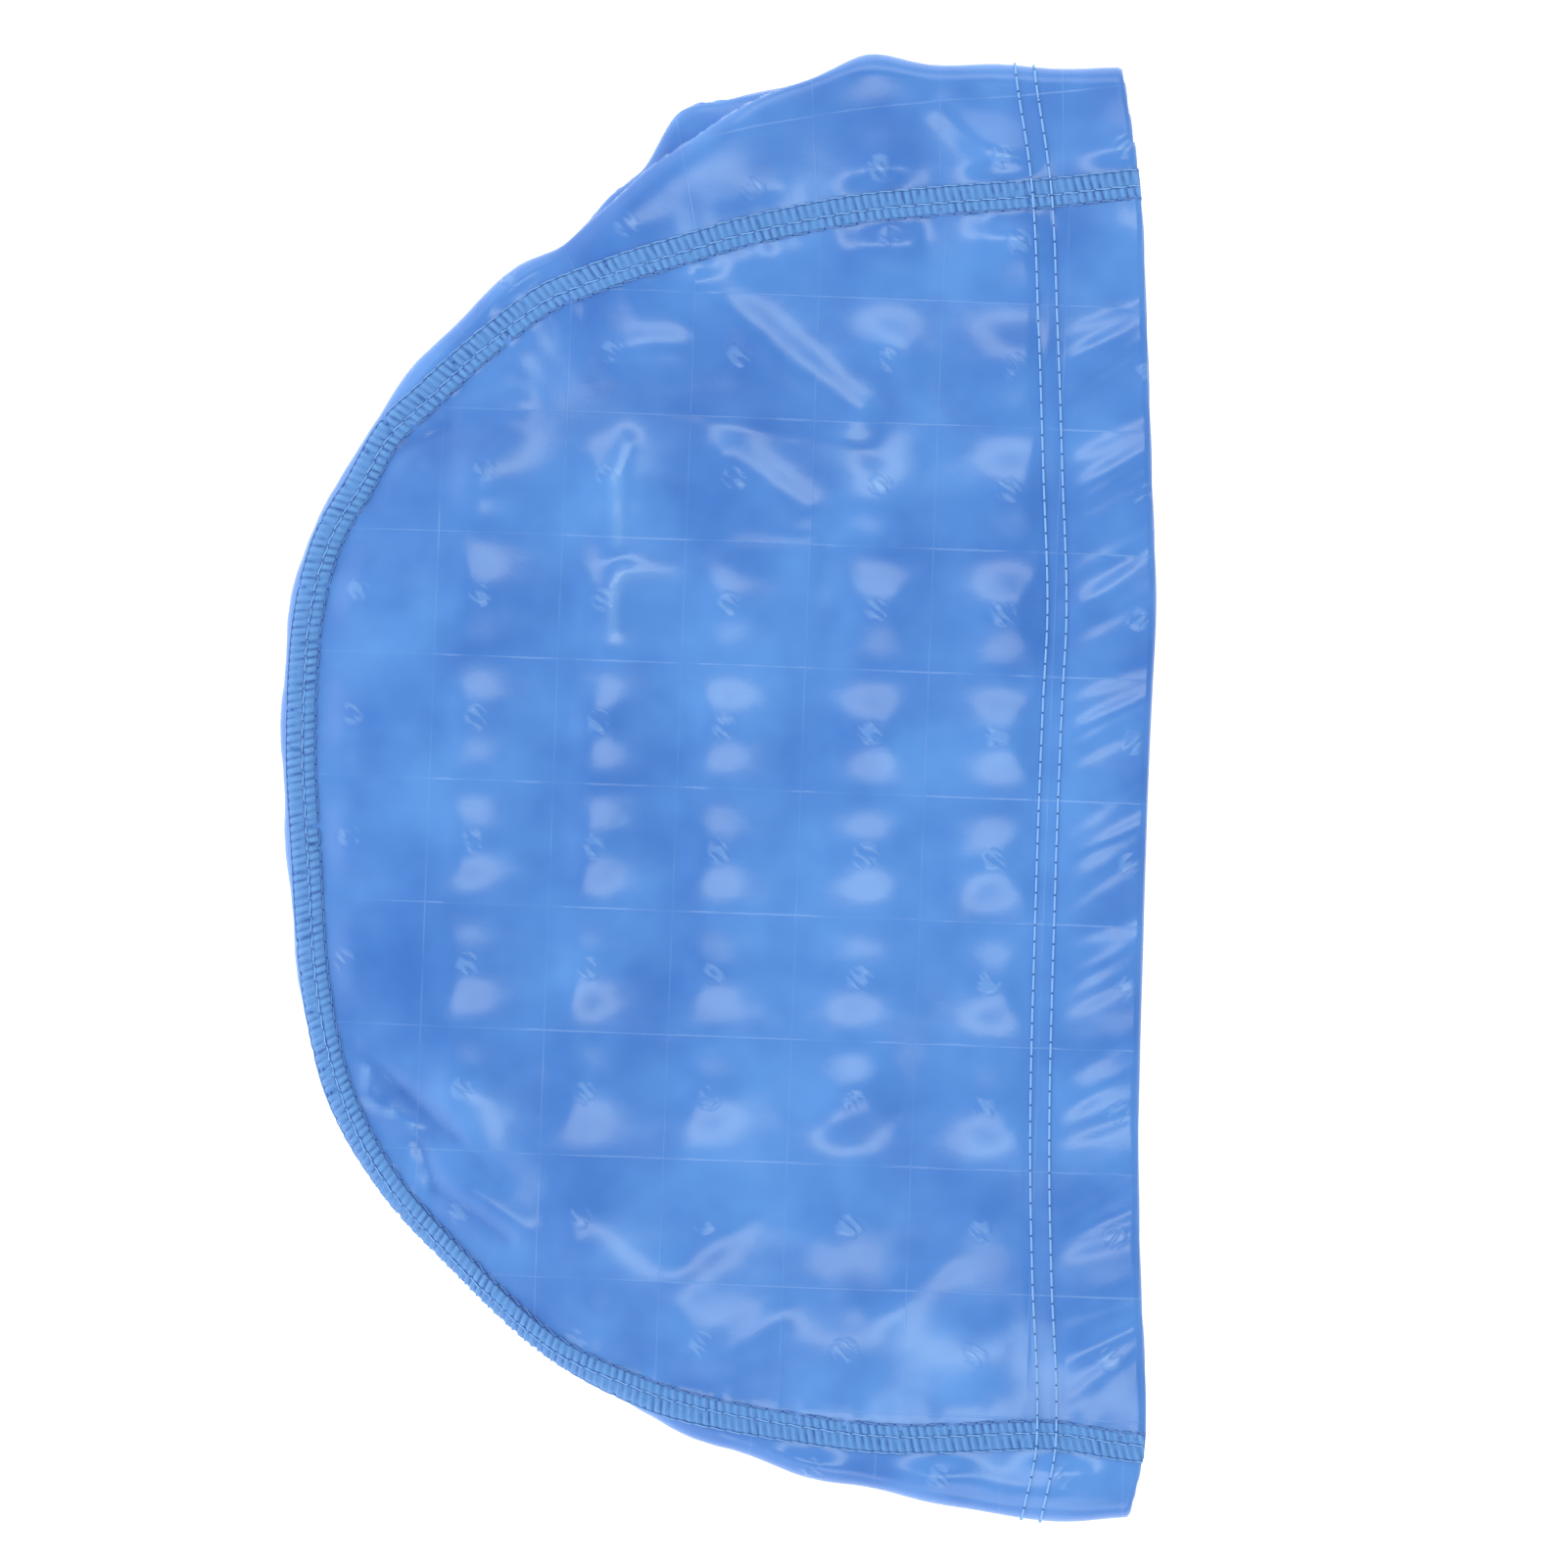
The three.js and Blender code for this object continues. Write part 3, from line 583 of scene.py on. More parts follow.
def make_piece(name, points, faces, material, outward=None, uv=None, shade=None,
               creased=False):
    """A mesh object from points in mm and faces. outward is a direction for
    each point that the faces turn to; without it the closed mesh's volume is
    made positive. uv and shade are kept as a UV map and a point attribute.
    creased breaks the shading along the cells' borders."""
    p = points[faces[:, :4]]
    across = np.cross(p[:, 2] - p[:, 0], p[:, 3] - p[:, 1])
    towards = p.mean(1) if outward is None else outward[faces[:, 0]]
    if (across * towards).sum() < 0:
        faces = faces[:, ::-1]
    mesh = bpy.data.meshes.new(name)
    placed = (points + [*OFF_CENTRE, 0]) * MM
    mesh.vertices.add(len(placed))
    mesh.vertices.foreach_set("co", placed.ravel())
    mesh.loops.add(faces.size)
    mesh.loops.foreach_set("vertex_index", faces.ravel())
    mesh.polygons.add(len(faces))
    mesh.polygons.foreach_set("loop_start", np.arange(0, faces.size, faces.shape[1]))
    mesh.polygons.foreach_set("use_smooth", np.ones(len(faces), bool))
    mesh.update(calc_edges=True)
    if uv is not None:
        layer = mesh.uv_layers.new(name="cells")
        layer.data.foreach_set("uv", uv[faces.ravel()].ravel())
    if creased:
        ends = np.empty(len(mesh.edges) * 2, int)
        mesh.edges.foreach_get("vertices", ends)
        ends = uv[ends.reshape(-1, 2)]
        on_border = (np.abs(ends - np.round(ends)) < 1e-4).all(1) & (
            np.round(ends[:, 0]) == np.round(ends[:, 1]))
        mesh.attributes.new("sharp_edge", "BOOLEAN", "EDGE").data.foreach_set(
            "value", on_border.any(1))
    if shade is not None:
        mesh.attributes.new("painted_shading", "FLOAT", "POINT").data.foreach_set("value", shade.ravel())
    mesh.materials.append(material)
    piece = bpy.data.objects.new(name, mesh)
    bpy.context.scene.collection.objects.link(piece)
    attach(piece, "root")
    return piece


def grid_faces(rows, columns, wrap=False):
    """Quads of a grid of points; wrap joins the last column to the first."""
    i = np.arange(rows * columns).reshape(rows, columns)
    if wrap:
        i = np.concatenate([i, i[:, :1]], 1)
    return np.stack([i[:-1, :-1], i[1:, :-1], i[1:, 1:], i[:-1, 1:]], -1).reshape(-1, 4)


def thicken(piece, thickness):
    """Gives an outer face the cloth's thickness, inwards."""
    wall = piece.modifiers.new("wall", "SOLIDIFY")
    wall.thickness = thickness * MM
    wall.offset = -1.0


def side_panel(name, edge, face, inward, steps, reach, material):
    """A side panel with its hem: a grid on the cell pattern, cut at the edge
    under the seam band (points outside move to the nearest point of the edge)
    and turned in at the rim. face gives the outer face's height."""
    u, v = np.meshgrid(np.arange(reach[0], reach[1], 1 / steps),
                       np.arange(reach[2], reach[3], 1 / steps), indexing="ij")
    shape = u.shape
    x, y = plan_of(u.ravel(), v.ravel())
    gap, _, foot = nearest_on(edge, x, y)
    limit = rim_x(y) - HEM_FOLD + HEM_WIDTH + np.pi * HEM_FOLD
    inside = (gap > 0) & (x < limit)
    x, y = np.where(gap > 0, x, foot[:, 0]), np.where(gap > 0, y, foot[:, 1])
    x = np.minimum(x, limit)
    u, v = cell_of(x, y)
    faces = grid_faces(*shape)
    faces = faces[inside[faces].any(1)]
    used, faces = np.unique(faces, return_inverse=True)
    faces = faces.reshape(-1, 4)
    x, y, u, v = x[used], y[used], u[used], v[used]
    turned, depth = turn_in(x, y)
    z = face(np.minimum(turned, rim_x(y) - HEM_FOLD), y)
    points = np.stack([turned, y, z + inward * depth], -1)
    outward = np.zeros_like(points)
    outward[:, 2] = np.where(depth > HEM_FOLD, inward, -inward)
    # painted shade and painted highlight of the creases, on the upper panel only
    shade = crease_shade(x, y) if inward < 0 else None
    panel = make_piece(name, points, faces, material, outward, np.stack([u, v], -1), shade,
                       creased=True)
    thicken(panel, CLOTH)
    return panel


def strip_relief(run, s):
    """How far the strip's face stands off its plain form: its own row of
    cushions, flatter in the pleat, the folds that reach it and small puckers."""
    t = np.interp(run, PATH_RUN, PATH_T)
    edge = np.minimum(s - BAND_WIDTH, lower_edge(profile(t))[:, None] - s)
    pleat = np.clip(section("pleat", t), 0, 1)[:, None]
    middle, normal = on_cloth(run, s, np.zeros(s.shape))
    up = np.maximum(normal[..., 2], 0)
    u, v = strip_cells(run, s)
    return (smooth(edge, -1, 4) * STRIP_CUSHION * cushions(u, v) * (1 - PLEAT_FLAT * pleat)
            + smooth(edge, 0, 6) * up * fold_height(middle[..., 0], middle[..., 1])
            + 0.6 * seam_puckers(np.maximum(edge, 0), run[:, None]))


def strip_cells(run, s):
    """Cell coordinates on the strip."""
    return (run[:, None] - STRIP_LINE_RUN) / CELL + 0 * s, (s - STRIP_LINE) / CELL


def crown_strip(material):
    """The strip: a grid of run along the seam and arc length across, pressed
    flat where it lies on the floor."""
    run = np.linspace(0, PATH_RUN[-1], int(PATH_RUN[-1] / STRIP_STEP))
    last = lower_edge(profile(np.interp(run, PATH_RUN, PATH_T))) + BAND_TUCK
    first = BAND_WIDTH - BAND_TUCK
    s = first + np.linspace(0, 1, STRIP_COLUMNS)[None] * (last[:, None] - first)
    points, normal = on_cloth(run, s, CLOTH / 2 + strip_relief(run, s))
    points[..., 2] = np.maximum(points[..., 2], REST_HEIGHT)
    cells = np.stack(strip_cells(run, s), -1)
    strip = make_piece("crown_strip_cloth", points.reshape(-1, 3), grid_faces(*s.shape), material,
                       normal.reshape(-1, 3), cells.reshape(-1, 2))
    thicken(strip, CLOTH)
    return strip


def band_top(s, run, creases):
    """Height of a seam band's face above the cloth's middle: two soft pillows
    between the three stitch rows, rippled twice to each stitch and creased
    across at uneven steps."""
    a, b, c = BAND_ROWS
    pillow = np.where(s < b, np.sin(np.pi * np.clip((s - a) / (b - a), 0, 1)),
                      np.sin(np.pi * np.clip((s - b) / (c - b), 0, 1)))
    ripple = 0.5 + 0.5 * np.cos(4 * np.pi * (run + RIB_LEAN * s) / STITCH)
    crease = np.zeros(np.broadcast(s, run).shape)
    for at, lean, low, high, depth in creases:
        gap = run - at - lean * (s - b)
        crease += depth * np.exp(-((gap / 0.45) ** 2)) * smooth(s, low - 0.5, low) * (
            1 - smooth(s, high, high + 0.5))
    edge = smooth(s, 0, 0.5) * (1 - smooth(s, BAND_WIDTH - 0.5, BAND_WIDTH))
    return 0.30 + edge * (0.20 + 0.6 * pillow * (0.1 + 0.9 * ripple) - crease)


def seam_band(name, base, creases, material):
    """A flat seam: a closed ribbon along the seam, its face as band_top says
    and its back a little below the cloth's middle. base gives the arc length
    of its first edge in each section."""
    rows = int(PATH_RUN[-1] / BAND_STEP)
    run = np.linspace(0, PATH_RUN[-1], rows)
    back = [BAND_WIDTH - BAND_BEVEL, BAND_WIDTH / 2, BAND_BEVEL]
    across = np.concatenate([np.linspace(0, BAND_WIDTH, BAND_COLUMNS), back])
    s = base(run)[:, None] + across[None]
    lift = np.concatenate([band_top(across[None, :BAND_COLUMNS], run[:, None], creases),
                           np.full((rows, len(back)), BAND_BACK)], 1)
    points, normal = on_cloth(run, s, lift)
    points[..., 2] = np.maximum(points[..., 2], FLOOR_CLEAR)
    faces = grid_faces(*s.shape, wrap=True)
    width = s.shape[1]
    caps = [end_cap(start, width) for start in (0, (rows - 1) * width)]
    uv = np.stack([np.broadcast_to(run[:, None], s.shape), np.broadcast_to(across, s.shape)], -1)
    return make_piece(name, points.reshape(-1, 3), np.concatenate([faces, *caps]), material,
                      uv=uv.reshape(-1, 2))


def end_cap(start, width):
    """Quads that close the end ring of a tube with an even number of points."""
    ring = start + np.arange(width)
    k = np.arange(width // 2 - 1)
    quads = np.stack([ring[k], ring[k + 1], ring[width - 2 - k], ring[width - 1 - k]], -1)
    return quads if start == 0 else quads[:, ::-1]


def tubes(centre, normal, radius, sides=6):
    """Many tubes at once: centre and normal have the shape (tubes, points, 3).
    Each ring is centre + radius (cos a normal + sin a side)."""
    count, length = centre.shape[:2]
    ahead = np.gradient(centre, axis=1)
    side = np.cross(ahead, normal)
    side /= np.maximum(np.linalg.norm(side, axis=-1, keepdims=True), 1e-9)
    angle = np.linspace(0, 2 * np.pi, sides, endpoint=False)
    ring = (centre[:, :, None] + radius * (np.cos(angle)[:, None] * normal[:, :, None]
                                           + np.sin(angle)[:, None] * side[:, :, None]))
    one = np.concatenate([grid_faces(length, sides, wrap=True),
                          end_cap(0, sides), end_cap((length - 1) * sides, sides)])
    faces = one[None] + (np.arange(count) * length * sides)[:, None, None]
    return ring.reshape(-1, 3), faces.reshape(-1, 4)


def thread_piece(name, parts, material):
    """One piece from the points, faces and shades of several threads."""
    points, faces, shades = zip(*parts)
    starts = np.cumsum([0] + [len(p) for p in points[:-1]])
    faces = np.concatenate([f + start for f, start in zip(faces, starts)])
    return make_piece(name, np.concatenate(points), faces, material,
                      shade=np.concatenate(shades))


def stitch_wave(run):
    """How far a stitch stands out at a run: 1 over most of its length and 0
    at the needle hole between two stitches."""
    phase = run / STITCH - np.floor(run / STITCH)
    return np.clip(np.sin(np.pi * phase) * 3.2, 0, 1)


def seam_threads(name, base, creases, material):
    """The threads of a flat seam: three rows of needle stitches, and the cover
    threads that cross between them, two to a stitch outside, one inside."""
    run = np.arange(0, PATH_RUN[-1], STITCH / 10)
    parts = []
    for k, row in enumerate(BAND_ROWS):
        shifted = run + k * STITCH / 3
        wander = 0.07 * np.sin(shifted * 2 * np.pi / STITCH) + 0.05 * np.sin(shifted / 4.1)
        s = row + wander
        wave = stitch_wave(shifted)
        lift = band_top(s[:, None], run[:, None], creases)[:, 0] + YARN * (1.5 * wave - 0.9)
        lift += ROW_LIFT[k]
        centre, normal = on_cloth(run, (base(run) + s)[:, None], lift[:, None])
        centre[..., 2] = np.maximum(centre[..., 2], FLOOR_CLEAR + YARN)
        points, faces = tubes(centre[:, 0][None], normal[:, 0][None], YARN)
        # painted shade: darkest at each needle hole, never lighter than the row's least shade
        parts.append((points, faces, np.repeat(np.maximum(1 - wave, ROW_SHADE[k]), 6)))
    stitches = np.arange(0, PATH_RUN[-1] - 2 * STITCH, STITCH)
    a, b, c = BAND_ROWS
    for start, low, high in ((0.0, b, c), (STITCH / 2, b, c), (0.0, a, b)):
        share = np.linspace(0, 1, 6)[None]
        s = low + (high - low) * share + 0 * stitches[:, None]
        along = np.clip(stitches[:, None] + STITCH + start - RIB_LEAN * s, 0, PATH_RUN[-1])
        flat_run, flat_s = along.ravel(), s.ravel()
        lift = band_top(flat_s[:, None], flat_run[:, None], creases)[:, 0] + YARN * 0.25
        centre, normal = on_cloth(flat_run, (base(flat_run) + flat_s)[:, None], lift[:, None])
        centre[..., 2] = np.maximum(centre[..., 2], FLOOR_CLEAR + YARN)
        shape = along.shape + (3,)
        points, faces = tubes(centre.reshape(shape), normal.reshape(shape), YARN * 0.75, 4)
        parts.append((points, faces, np.full(len(points), COVER_SHADE)))
    return thread_piece(name, parts, material)


def hem_line(row, upper):
    """Centre and normals of one hem row: across the strip's end, the seam
    band, the panel, the other band and the other end of the strip."""
    ends = []
    for side in (0, 1):
        near = PATH_RUN < PATH_RUN[-1] / 4 if side == 0 else PATH_RUN > PATH_RUN[-1] * 3 / 4
        runs, xs = PATH_RUN[near], section("x", PATH_T[near])
        if side == 0:
            runs, xs = runs[::-1], xs[::-1]
        at_rim = np.interp(rim_x(RIM_ENDS[side]) - row, xs, runs)
        edge = lower_edge(profile(np.interp([at_rim], PATH_RUN, PATH_T)))[0]
        first, last = (0.2, edge / 2) if upper else (edge / 2, edge + BAND_WIDTH - 0.2)
        s = first + (last - first) * np.linspace(0, 1, END_POINTS)
        points, _ = on_cloth(np.full(END_POINTS, at_rim), s[:, None], np.zeros((END_POINTS, 1)))
        run = np.interp(rim_x(points[:, 0, 1]) - row, xs, runs)
        on_band = s < BAND_WIDTH if upper else s > edge
        lift = np.where(on_band, 0.8, CLOTH / 2 + strip_relief(run, s[:, None])[:, 0])
        points, normal = on_cloth(run, s[:, None], lift[:, None])
        order = slice(None, None, -1) if (side == 0) == upper else slice(None)
        ends.append((points[order, 0], normal[order, 0]))
    return ends


def hem_stitching(name, upper, material):
    """The twin rows of hem stitches on one side of the cap. Between the seam
    bands they follow the panel's face, and past them the strip's."""
    parts = []
    for row in HEM_ROWS:
        ends = hem_line(row, upper)
        if not upper:
            ends = [(p[::-1], n[::-1]) for p, n in ends]
        y0, y1 = ends[0][0][-1, 1], ends[1][0][0, 1]
        y = np.linspace(y0, y1, 700)[1:-1]
        x = rim_x(y) - row
        face, up = (upper_face, 1.0) if upper else (lower_face, -1.0)
        middle = np.stack([x, y, face(x, y)], -1), np.broadcast_to([0, 0, up], (len(y), 3))
        line, normal = map(np.concatenate, zip(ends[0], middle, ends[1]))
        run = np.concatenate([[0], np.cumsum(np.linalg.norm(np.diff(line, axis=0), axis=1))])
        even = np.arange(0, run[-1], STITCH / 10)
        line, normal = (np.stack([np.interp(even, run, column) for column in part.T], -1)
                        for part in (line, normal))
        normal /= np.linalg.norm(normal, axis=-1, keepdims=True)
        wave = stitch_wave(even)
        line = line + normal * (HEM_YARN * (wave - 0.2) + 0.05)[:, None]
        line[:, 2] = np.maximum(line[:, 2], FLOOR_CLEAR + HEM_YARN)
        points, faces = tubes(line[None], normal[None], HEM_YARN)
        # painted shade: darkest at each needle hole
        parts.append((points, faces, np.repeat(1 - wave, 6)))
    return thread_piece(name, parts, material)


# Finishes

def linear(hex_colour):
    """An sRGB hex colour as linear RGBA."""
    parts = [int(hex_colour[i:i + 2], 16) / 255 for i in (1, 3, 5)]
    return [p / 12.92 if p <= 0.04045 else ((p + 0.055) / 1.055) ** 2.4 for p in parts] + [1.0]


def fill(owner, node, inputs):
    """Gives a node's sockets, in order or by name or number, their values, or
    links them to outputs."""
    for key, value in inputs.items() if isinstance(inputs, dict) else enumerate(inputs):
        if isinstance(value, bpy.types.NodeSocket):
            owner.node_tree.links.new(value, node.inputs[key])
        else:
            node.inputs[key].default_value = value


def add_node(owner, kind, inputs=(), **settings):
    """Adds a node with its settings and inputs to a material or world, and
    gives its outputs."""
    made = owner.node_tree.nodes.new("ShaderNode" + kind)
    for key, value in settings.items():
        setattr(made, key, value)
    fill(owner, made, inputs)
    return made.outputs


def new_finish(name, **values):
    """A material with one Principled surface and its plain values."""
    material = bpy.data.materials.new(name)
    material.use_nodes = True
    surface = material.node_tree.nodes["Principled BSDF"]
    fill(material, surface, {key.replace("_", " "): value for key, value in values.items()})
    return material, surface


def coated_cloth():
    """Stretch knit under a thin polyurethane film: the wet sheen mirrors the
    lights with soft edges, each square's small boss gives a few short bright
    dashes, and hair-thin creases part the squares. Painted highlights make the film
    paler on a boss, in a crease and along a raised crease, and painted shade darkens the sunken
    creases and the shaded places."""
    finish, surface = new_finish("polyurethane_coated_knit", Roughness=CLOTH_ROUGHNESS, IOR=1.5,
                                 Coat_Weight=0.3, Coat_Roughness=0.13)
    add = partial(add_node, finish)
    place = add("TexCoord")["Object"]
    cells = add("UVMap", uv_map="cells")["UV"]
    in_cell = add("VectorMath", [cells], operation="FRACTION")[0]
    from_middle = add("VectorMath", [in_cell, (0.5, 0.5, 0.0)], operation="SUBTRACT")[0]
    away = add("VectorMath", [from_middle], operation="LENGTH")["Value"]
    either_way = add("VectorMath", [from_middle], operation="ABSOLUTE")[0]
    u, v, _ = add("SeparateXYZ", [either_way])

    across = add("SeparateXYZ", [place])["X"]
    past = add("Math", [across, DASH_TURN], operation="GREATER_THAN")[0]
    lean = add("Math", [past, -2 * DASH_ANGLE, DASH_ANGLE], operation="MULTIPLY_ADD")[0]
    turned = add("VectorRotate", {"Vector": place, "Angle": lean}, rotation_type="Z_AXIS")[0]
    drawn = add("Mapping", {"Vector": turned, "Scale": (1.0, 0.3, 1.0)})[0]
    dashes, crease_strength, mottle, soft, grain = (
        add("TexNoise", {"Vector": where, "Scale": scale, "Detail": detail})[0]
        for where, scale, detail in ((drawn, 1000.0, 0.0), (cells, 1.7, 3.0), (place, 50.0, 3.0),
                                     (place, 70.0, 1.5), (place, 1400.0, 2.0)))
    dashes = add("MapRange", [dashes, 0.42, 0.62], **SOFT_RAMP)[0]
    boss = add("MapRange", [away, RING / CELL, 2.2 * RING / CELL, 1.0, 0.0], **SOFT_RAMP)[0]
    ring = add("Math", [dashes, boss], operation="MULTIPLY")[0]

    border = add("Math", [u, v], operation="MAXIMUM")[0]
    border = add("MapRange", [border, 0.5 - CREASE_WIDTH / CELL, 0.5], **SOFT_RAMP)[0]
    crease_strength = add("MapRange", [crease_strength, 0.4, 0.66, 0.25, 1.0], **SOFT_RAMP)[0]
    crease = add("Math", [border, crease_strength], operation="MULTIPLY")[0]

    mottle = add("MapRange", [mottle, 0.15, 0.85], **SOFT_RAMP)[0]
    # painted highlight: paler film in the creases, on the bosses and on raised creases (shade
    # attribute below 0); painted shade where it is above 0
    painted_shading = add("Attribute", attribute_name="painted_shading")["Fac"]
    highlit_crease, highlit_boss, in_shade, raised = (
        add("Math", [source, share], operation="MULTIPLY")[0]
        for source, share in ((crease, 0.2), (ring, 0.25), (painted_shading, 0.5), (painted_shading, -1.3)))
    pale = add("Math", [highlit_crease, highlit_boss], operation="MAXIMUM")[0]
    colour = linear(CLOTH_DARK)
    for share, tone in ((mottle, CLOTH_LIGHT), (pale, CREASE_HIGHLIGHT), (in_shade, CREASE_SHADE),
                        (raised, CREASE_HIGHLIGHT)):
        colour = add("Mix", {0: share, MIX_FROM: colour, MIX_TO: linear(tone)}, **COLOURS)[MIXED]

    relief = {"Strength": 1.0}
    for height, rise in ((soft, 0.5), (ring, RING_RISE), (crease, 0.03), (grain, 0.012)):
        relief.update({"Height": height, "Distance": rise * MM})
        relief["Normal"] = add("Bump", relief)[0]
    fill(finish, surface, {"Base Color": colour, "Normal": relief["Normal"]})
    return finish


def seam_cloth():
    """Uncoated overlocked knit edges under the cover threads: matt, a little
    greener than the film, and shaded between the ribs and in the grooves that
    the stitch rows pull."""
    finish, surface = new_finish("flatlock_knit", Roughness=0.6, IOR=1.5, Sheen_Weight=0.1,
                                 Sheen_Roughness=0.5)
    add = partial(add_node, finish)
    place = add("TexCoord")["Object"]
    along, across, _ = add("SeparateXYZ", [add("UVMap", uv_map="cells")["UV"]])
    phase = add("Math", [across, RIB_LEAN, along], operation="MULTIPLY_ADD")[0]
    turn = add("Math", [phase, 4 * math.pi / STITCH], operation="MULTIPLY")[0]
    wave = add("Math", [turn], operation="COSINE")[0]
    between = add("MapRange", [wave, 0.2, -1.0])[0]
    mottle = add("TexNoise", {"Vector": place, "Scale": 260.0, "Detail": 3.0})[0]
    uneven = add("MapRange", [mottle, 0.4, 0.62, 0.15, 1.0])[0]
    shade = add("Math", [between, uneven], operation="MULTIPLY")[0]
    for row in BAND_ROWS:
        groove = add("Math", [across, row, GROOVE_HALF], operation="COMPARE")[0]
        shade = add("Math", [groove, shade], operation="MAXIMUM")[0]
    shade = add("Math", [shade, 0.75], operation="MULTIPLY")[0]
    colour = linear(SEAM_DARK)
    for share, tone in ((mottle, SEAM_LIGHT), (shade, SEAM_SHADE)):
        colour = add("Mix", {0: share, MIX_FROM: colour, MIX_TO: linear(tone)}, **COLOURS)[MIXED]
    bump = add("Bump", {"Height": mottle, "Distance": 0.2 * MM, "Strength": 1.0})[0]
    fill(finish, surface, {"Base Color": colour, "Normal": bump})
    return finish


def yarn():
    """Textured polyester sewing thread: pale where a stitch stands out, with
    painted shade mixed in as each thread's shade says, darkest at a needle hole."""
    finish, surface = new_finish("polyester_thread", Roughness=0.65, IOR=1.4)
    add = partial(add_node, finish)
    painted_shading = add("Attribute", attribute_name="painted_shading")["Fac"]
    painted_thread_shade = add("MapRange", [painted_shading, 0.1, 0.9])[0]
    colour = add("Mix", {0: painted_thread_shade, MIX_FROM: linear(THREAD_LIGHT), MIX_TO: linear(THREAD_SHADE)},
                 **COLOURS)[MIXED]
    fill(finish, surface, {"Base Color": colour})
    return finish


# The studio

def softbox(name, place, size, radiance, colour=(1.0, 1.0, 1.0)):
    """A rectangular light of a given radiance, aimed at the cap."""
    data = bpy.data.lights.new(name, "AREA")
    data.shape = "RECTANGLE"
    data.size, data.size_y = size
    data.color = colour
    data.energy = radiance * math.pi * size[0] * size[1]
    lamp = bpy.data.objects.new(name, data)
    lamp.location = place
    lamp.rotation_euler = Vector(-place).to_track_quat("-Z", "Y").to_euler()
    bpy.context.scene.collection.objects.link(lamp)


def studio():
    """A white table, lit from below so that no shadow shows, a big softbox
    beyond each end of the cap, a smaller and brighter light nearer to the
    camera at each end, and a room with pale walls, brighter on the crown's
    side, and a darker ceiling."""
    table = bpy.data.meshes.new("table")
    half = TABLE_HALF
    table.from_pydata([(-half, -half, 0), (half, -half, 0), (half, half, 0), (-half, half, 0)], [],
                      [(0, 1, 2, 3)])
    white, _ = new_finish("backlit_opal_acrylic", Roughness=0.6, Base_Color=linear("#FBFBFB"),
                          Emission_Color=linear("#FFFFFF"), Emission_Strength=TABLE_GLOW)
    table.materials.append(white)
    floor = bpy.data.objects.new("table", table)
    bpy.context.scene.collection.objects.link(floor)
    mirrored = np.array([1.0, -1.0, 1.0])
    for end, side in (("forehead", 1.0), ("nape", mirrored)):
        softbox(f"softbox_{end}", SOFTBOX_PLACE * side, SOFTBOX_SIZE, SOFTBOX_RADIANCE)
        softbox(f"near_light_{end}", NEAR_PLACE * side, NEAR_SIZE, NEAR_RADIANCE, NEAR_COLOUR)
    room = bpy.data.worlds.new("room")
    room.use_nodes = True
    x, _, z = add_node(room, "SeparateXYZ", [add_node(room, "TexCoord")["Generated"]])
    walls = add_node(room, "MapRange", [z, *WALL_TOP, WALL_RADIANCE, CEILING_RADIANCE],
                     **SOFT_RAMP)[0]
    crown_side = add_node(room, "MapRange", [x, -0.5, 0.5, *SIDE_RADIANCE])[0]
    level = add_node(room, "Math", [walls, crown_side], operation="MULTIPLY")[0]
    fill(room, room.node_tree.nodes["Background"], {"Color": (1, 1, 1, 1), "Strength": level})
    bpy.context.scene.world = room
    bpy.context.scene.view_settings.view_transform = "Standard"


def camera():
    """Straight above the cap, at the height where the lens takes in the
    photograph's frame at the level of the cap's seams."""
    data = bpy.data.cameras.new("camera")
    data.lens, data.sensor_width = LENS, SENSOR
    seen = bpy.data.objects.new("camera", data)
    height = FRAME_WIDTH * LENS / SENSOR + SEAM_LEVEL
    seen.location = ((FRAME_CENTRE[0] + OFF_CENTRE[0]) * MM,
                     (FRAME_CENTRE[1] + OFF_CENTRE[1]) * MM, height * MM)
    bpy.context.scene.collection.objects.link(seen)
    bpy.context.scene.camera = seen


# Lines that the functions above share, and the pieces

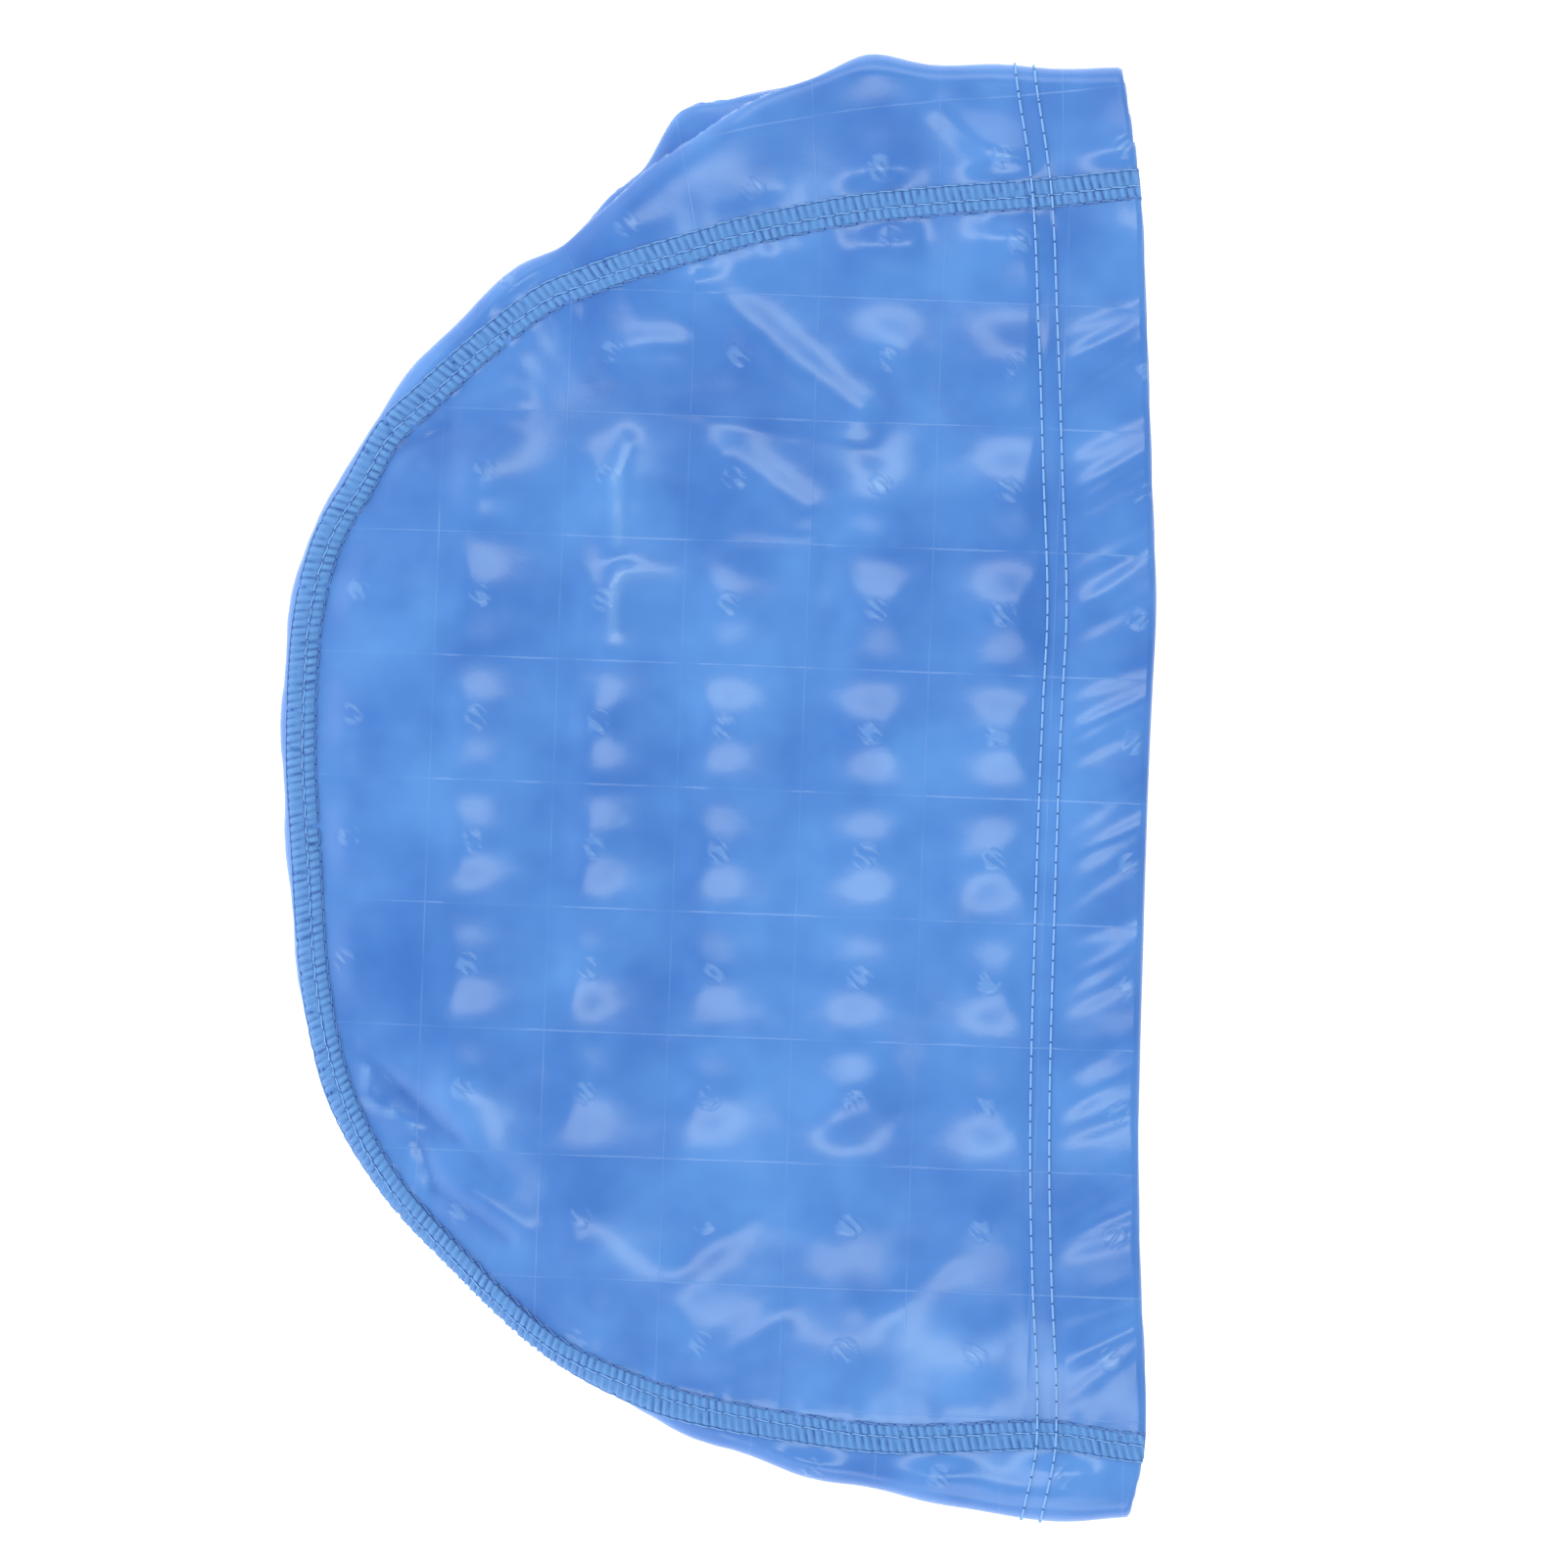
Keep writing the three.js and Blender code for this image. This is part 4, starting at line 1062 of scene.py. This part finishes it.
PATH_T, PATH_RUN = along_path(0.25)
forehead = PATH_RUN > PATH_RUN[-1] * 0.75
STRIP_LINE_RUN = np.interp(STRIP_LINE_X, section("x", PATH_T[forehead]), PATH_RUN[forehead])
UPPER_T, UPPER_EDGE = plan_path(lambda t: np.full(t.shape, -BAND_TUCK))
_, LOWER_EDGE = plan_path(lambda t: section("outline", t) - section("under", t) - BAND_TUCK)


def crease_rows(seed, spacing, strong):
    """Creases across a band: run, lean, the part of the width and the depth.
    They are deeper within the given runs."""
    rng = np.random.default_rng(seed)
    at = np.arange(2.0, PATH_RUN[-1], spacing)
    at = at + rng.uniform(-1.2, 1.2, len(at))
    lean = rng.uniform(-0.5, 0.5, len(at))
    low = np.where(rng.uniform(size=len(at)) < 0.5, 0.0, 2.4)
    high = low + rng.uniform(2.0, 3.6, len(at))
    depth = rng.uniform(0.1, 0.4, len(at))
    for first, last in strong:
        depth = np.where((at > first) & (at < last), depth * 1.6 + 0.08, depth)
    return np.stack([at, lean, low, high, depth], -1)


def upper_base(run):
    """Arc length of the upper band's first edge."""
    return np.zeros(run.shape)


def lower_base(run):
    """Arc length of the lower band's first edge."""
    return lower_edge(profile(np.interp(run, PATH_RUN, PATH_T)))


cloth, seam_finish, thread = coated_cloth(), seam_cloth(), yarn()
SEAMS = (("upper", upper_base, crease_rows(4, 4.2, CROWN_RUNS)),
         ("lower", lower_base, crease_rows(9, 9.0, ())))

upper = side_panel("upper_side_panel_cloth", UPPER_EDGE, upper_face, -1, CELL_STEPS,
                   (-5, 5, -7, 5), cloth)
lower = side_panel("lower_side_panel_cloth", LOWER_EDGE, lower_face, 1, LOWER_STEPS,
                   (-5, 5, -7, 6), cloth)
strip = crown_strip(cloth)
upper_band, lower_band = (seam_band(f"{side}_flatlock_band", *seam, seam_finish)
                          for side, *seam in SEAMS)
upper_threads, lower_threads = (seam_threads(f"{side}_flatlock_threads", *seam, thread)
                                for side, *seam in SEAMS)
upper_hem, lower_hem = (hem_stitching(f"{side}_hem_stitches", side == "upper", thread)
                        for side in ("upper", "lower"))

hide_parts("upper_side_panel")
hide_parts("lower_side_panel")
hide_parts("crown_strip")
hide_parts("upper_flatlock_seam")
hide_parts("lower_flatlock_seam")

studio()
camera()
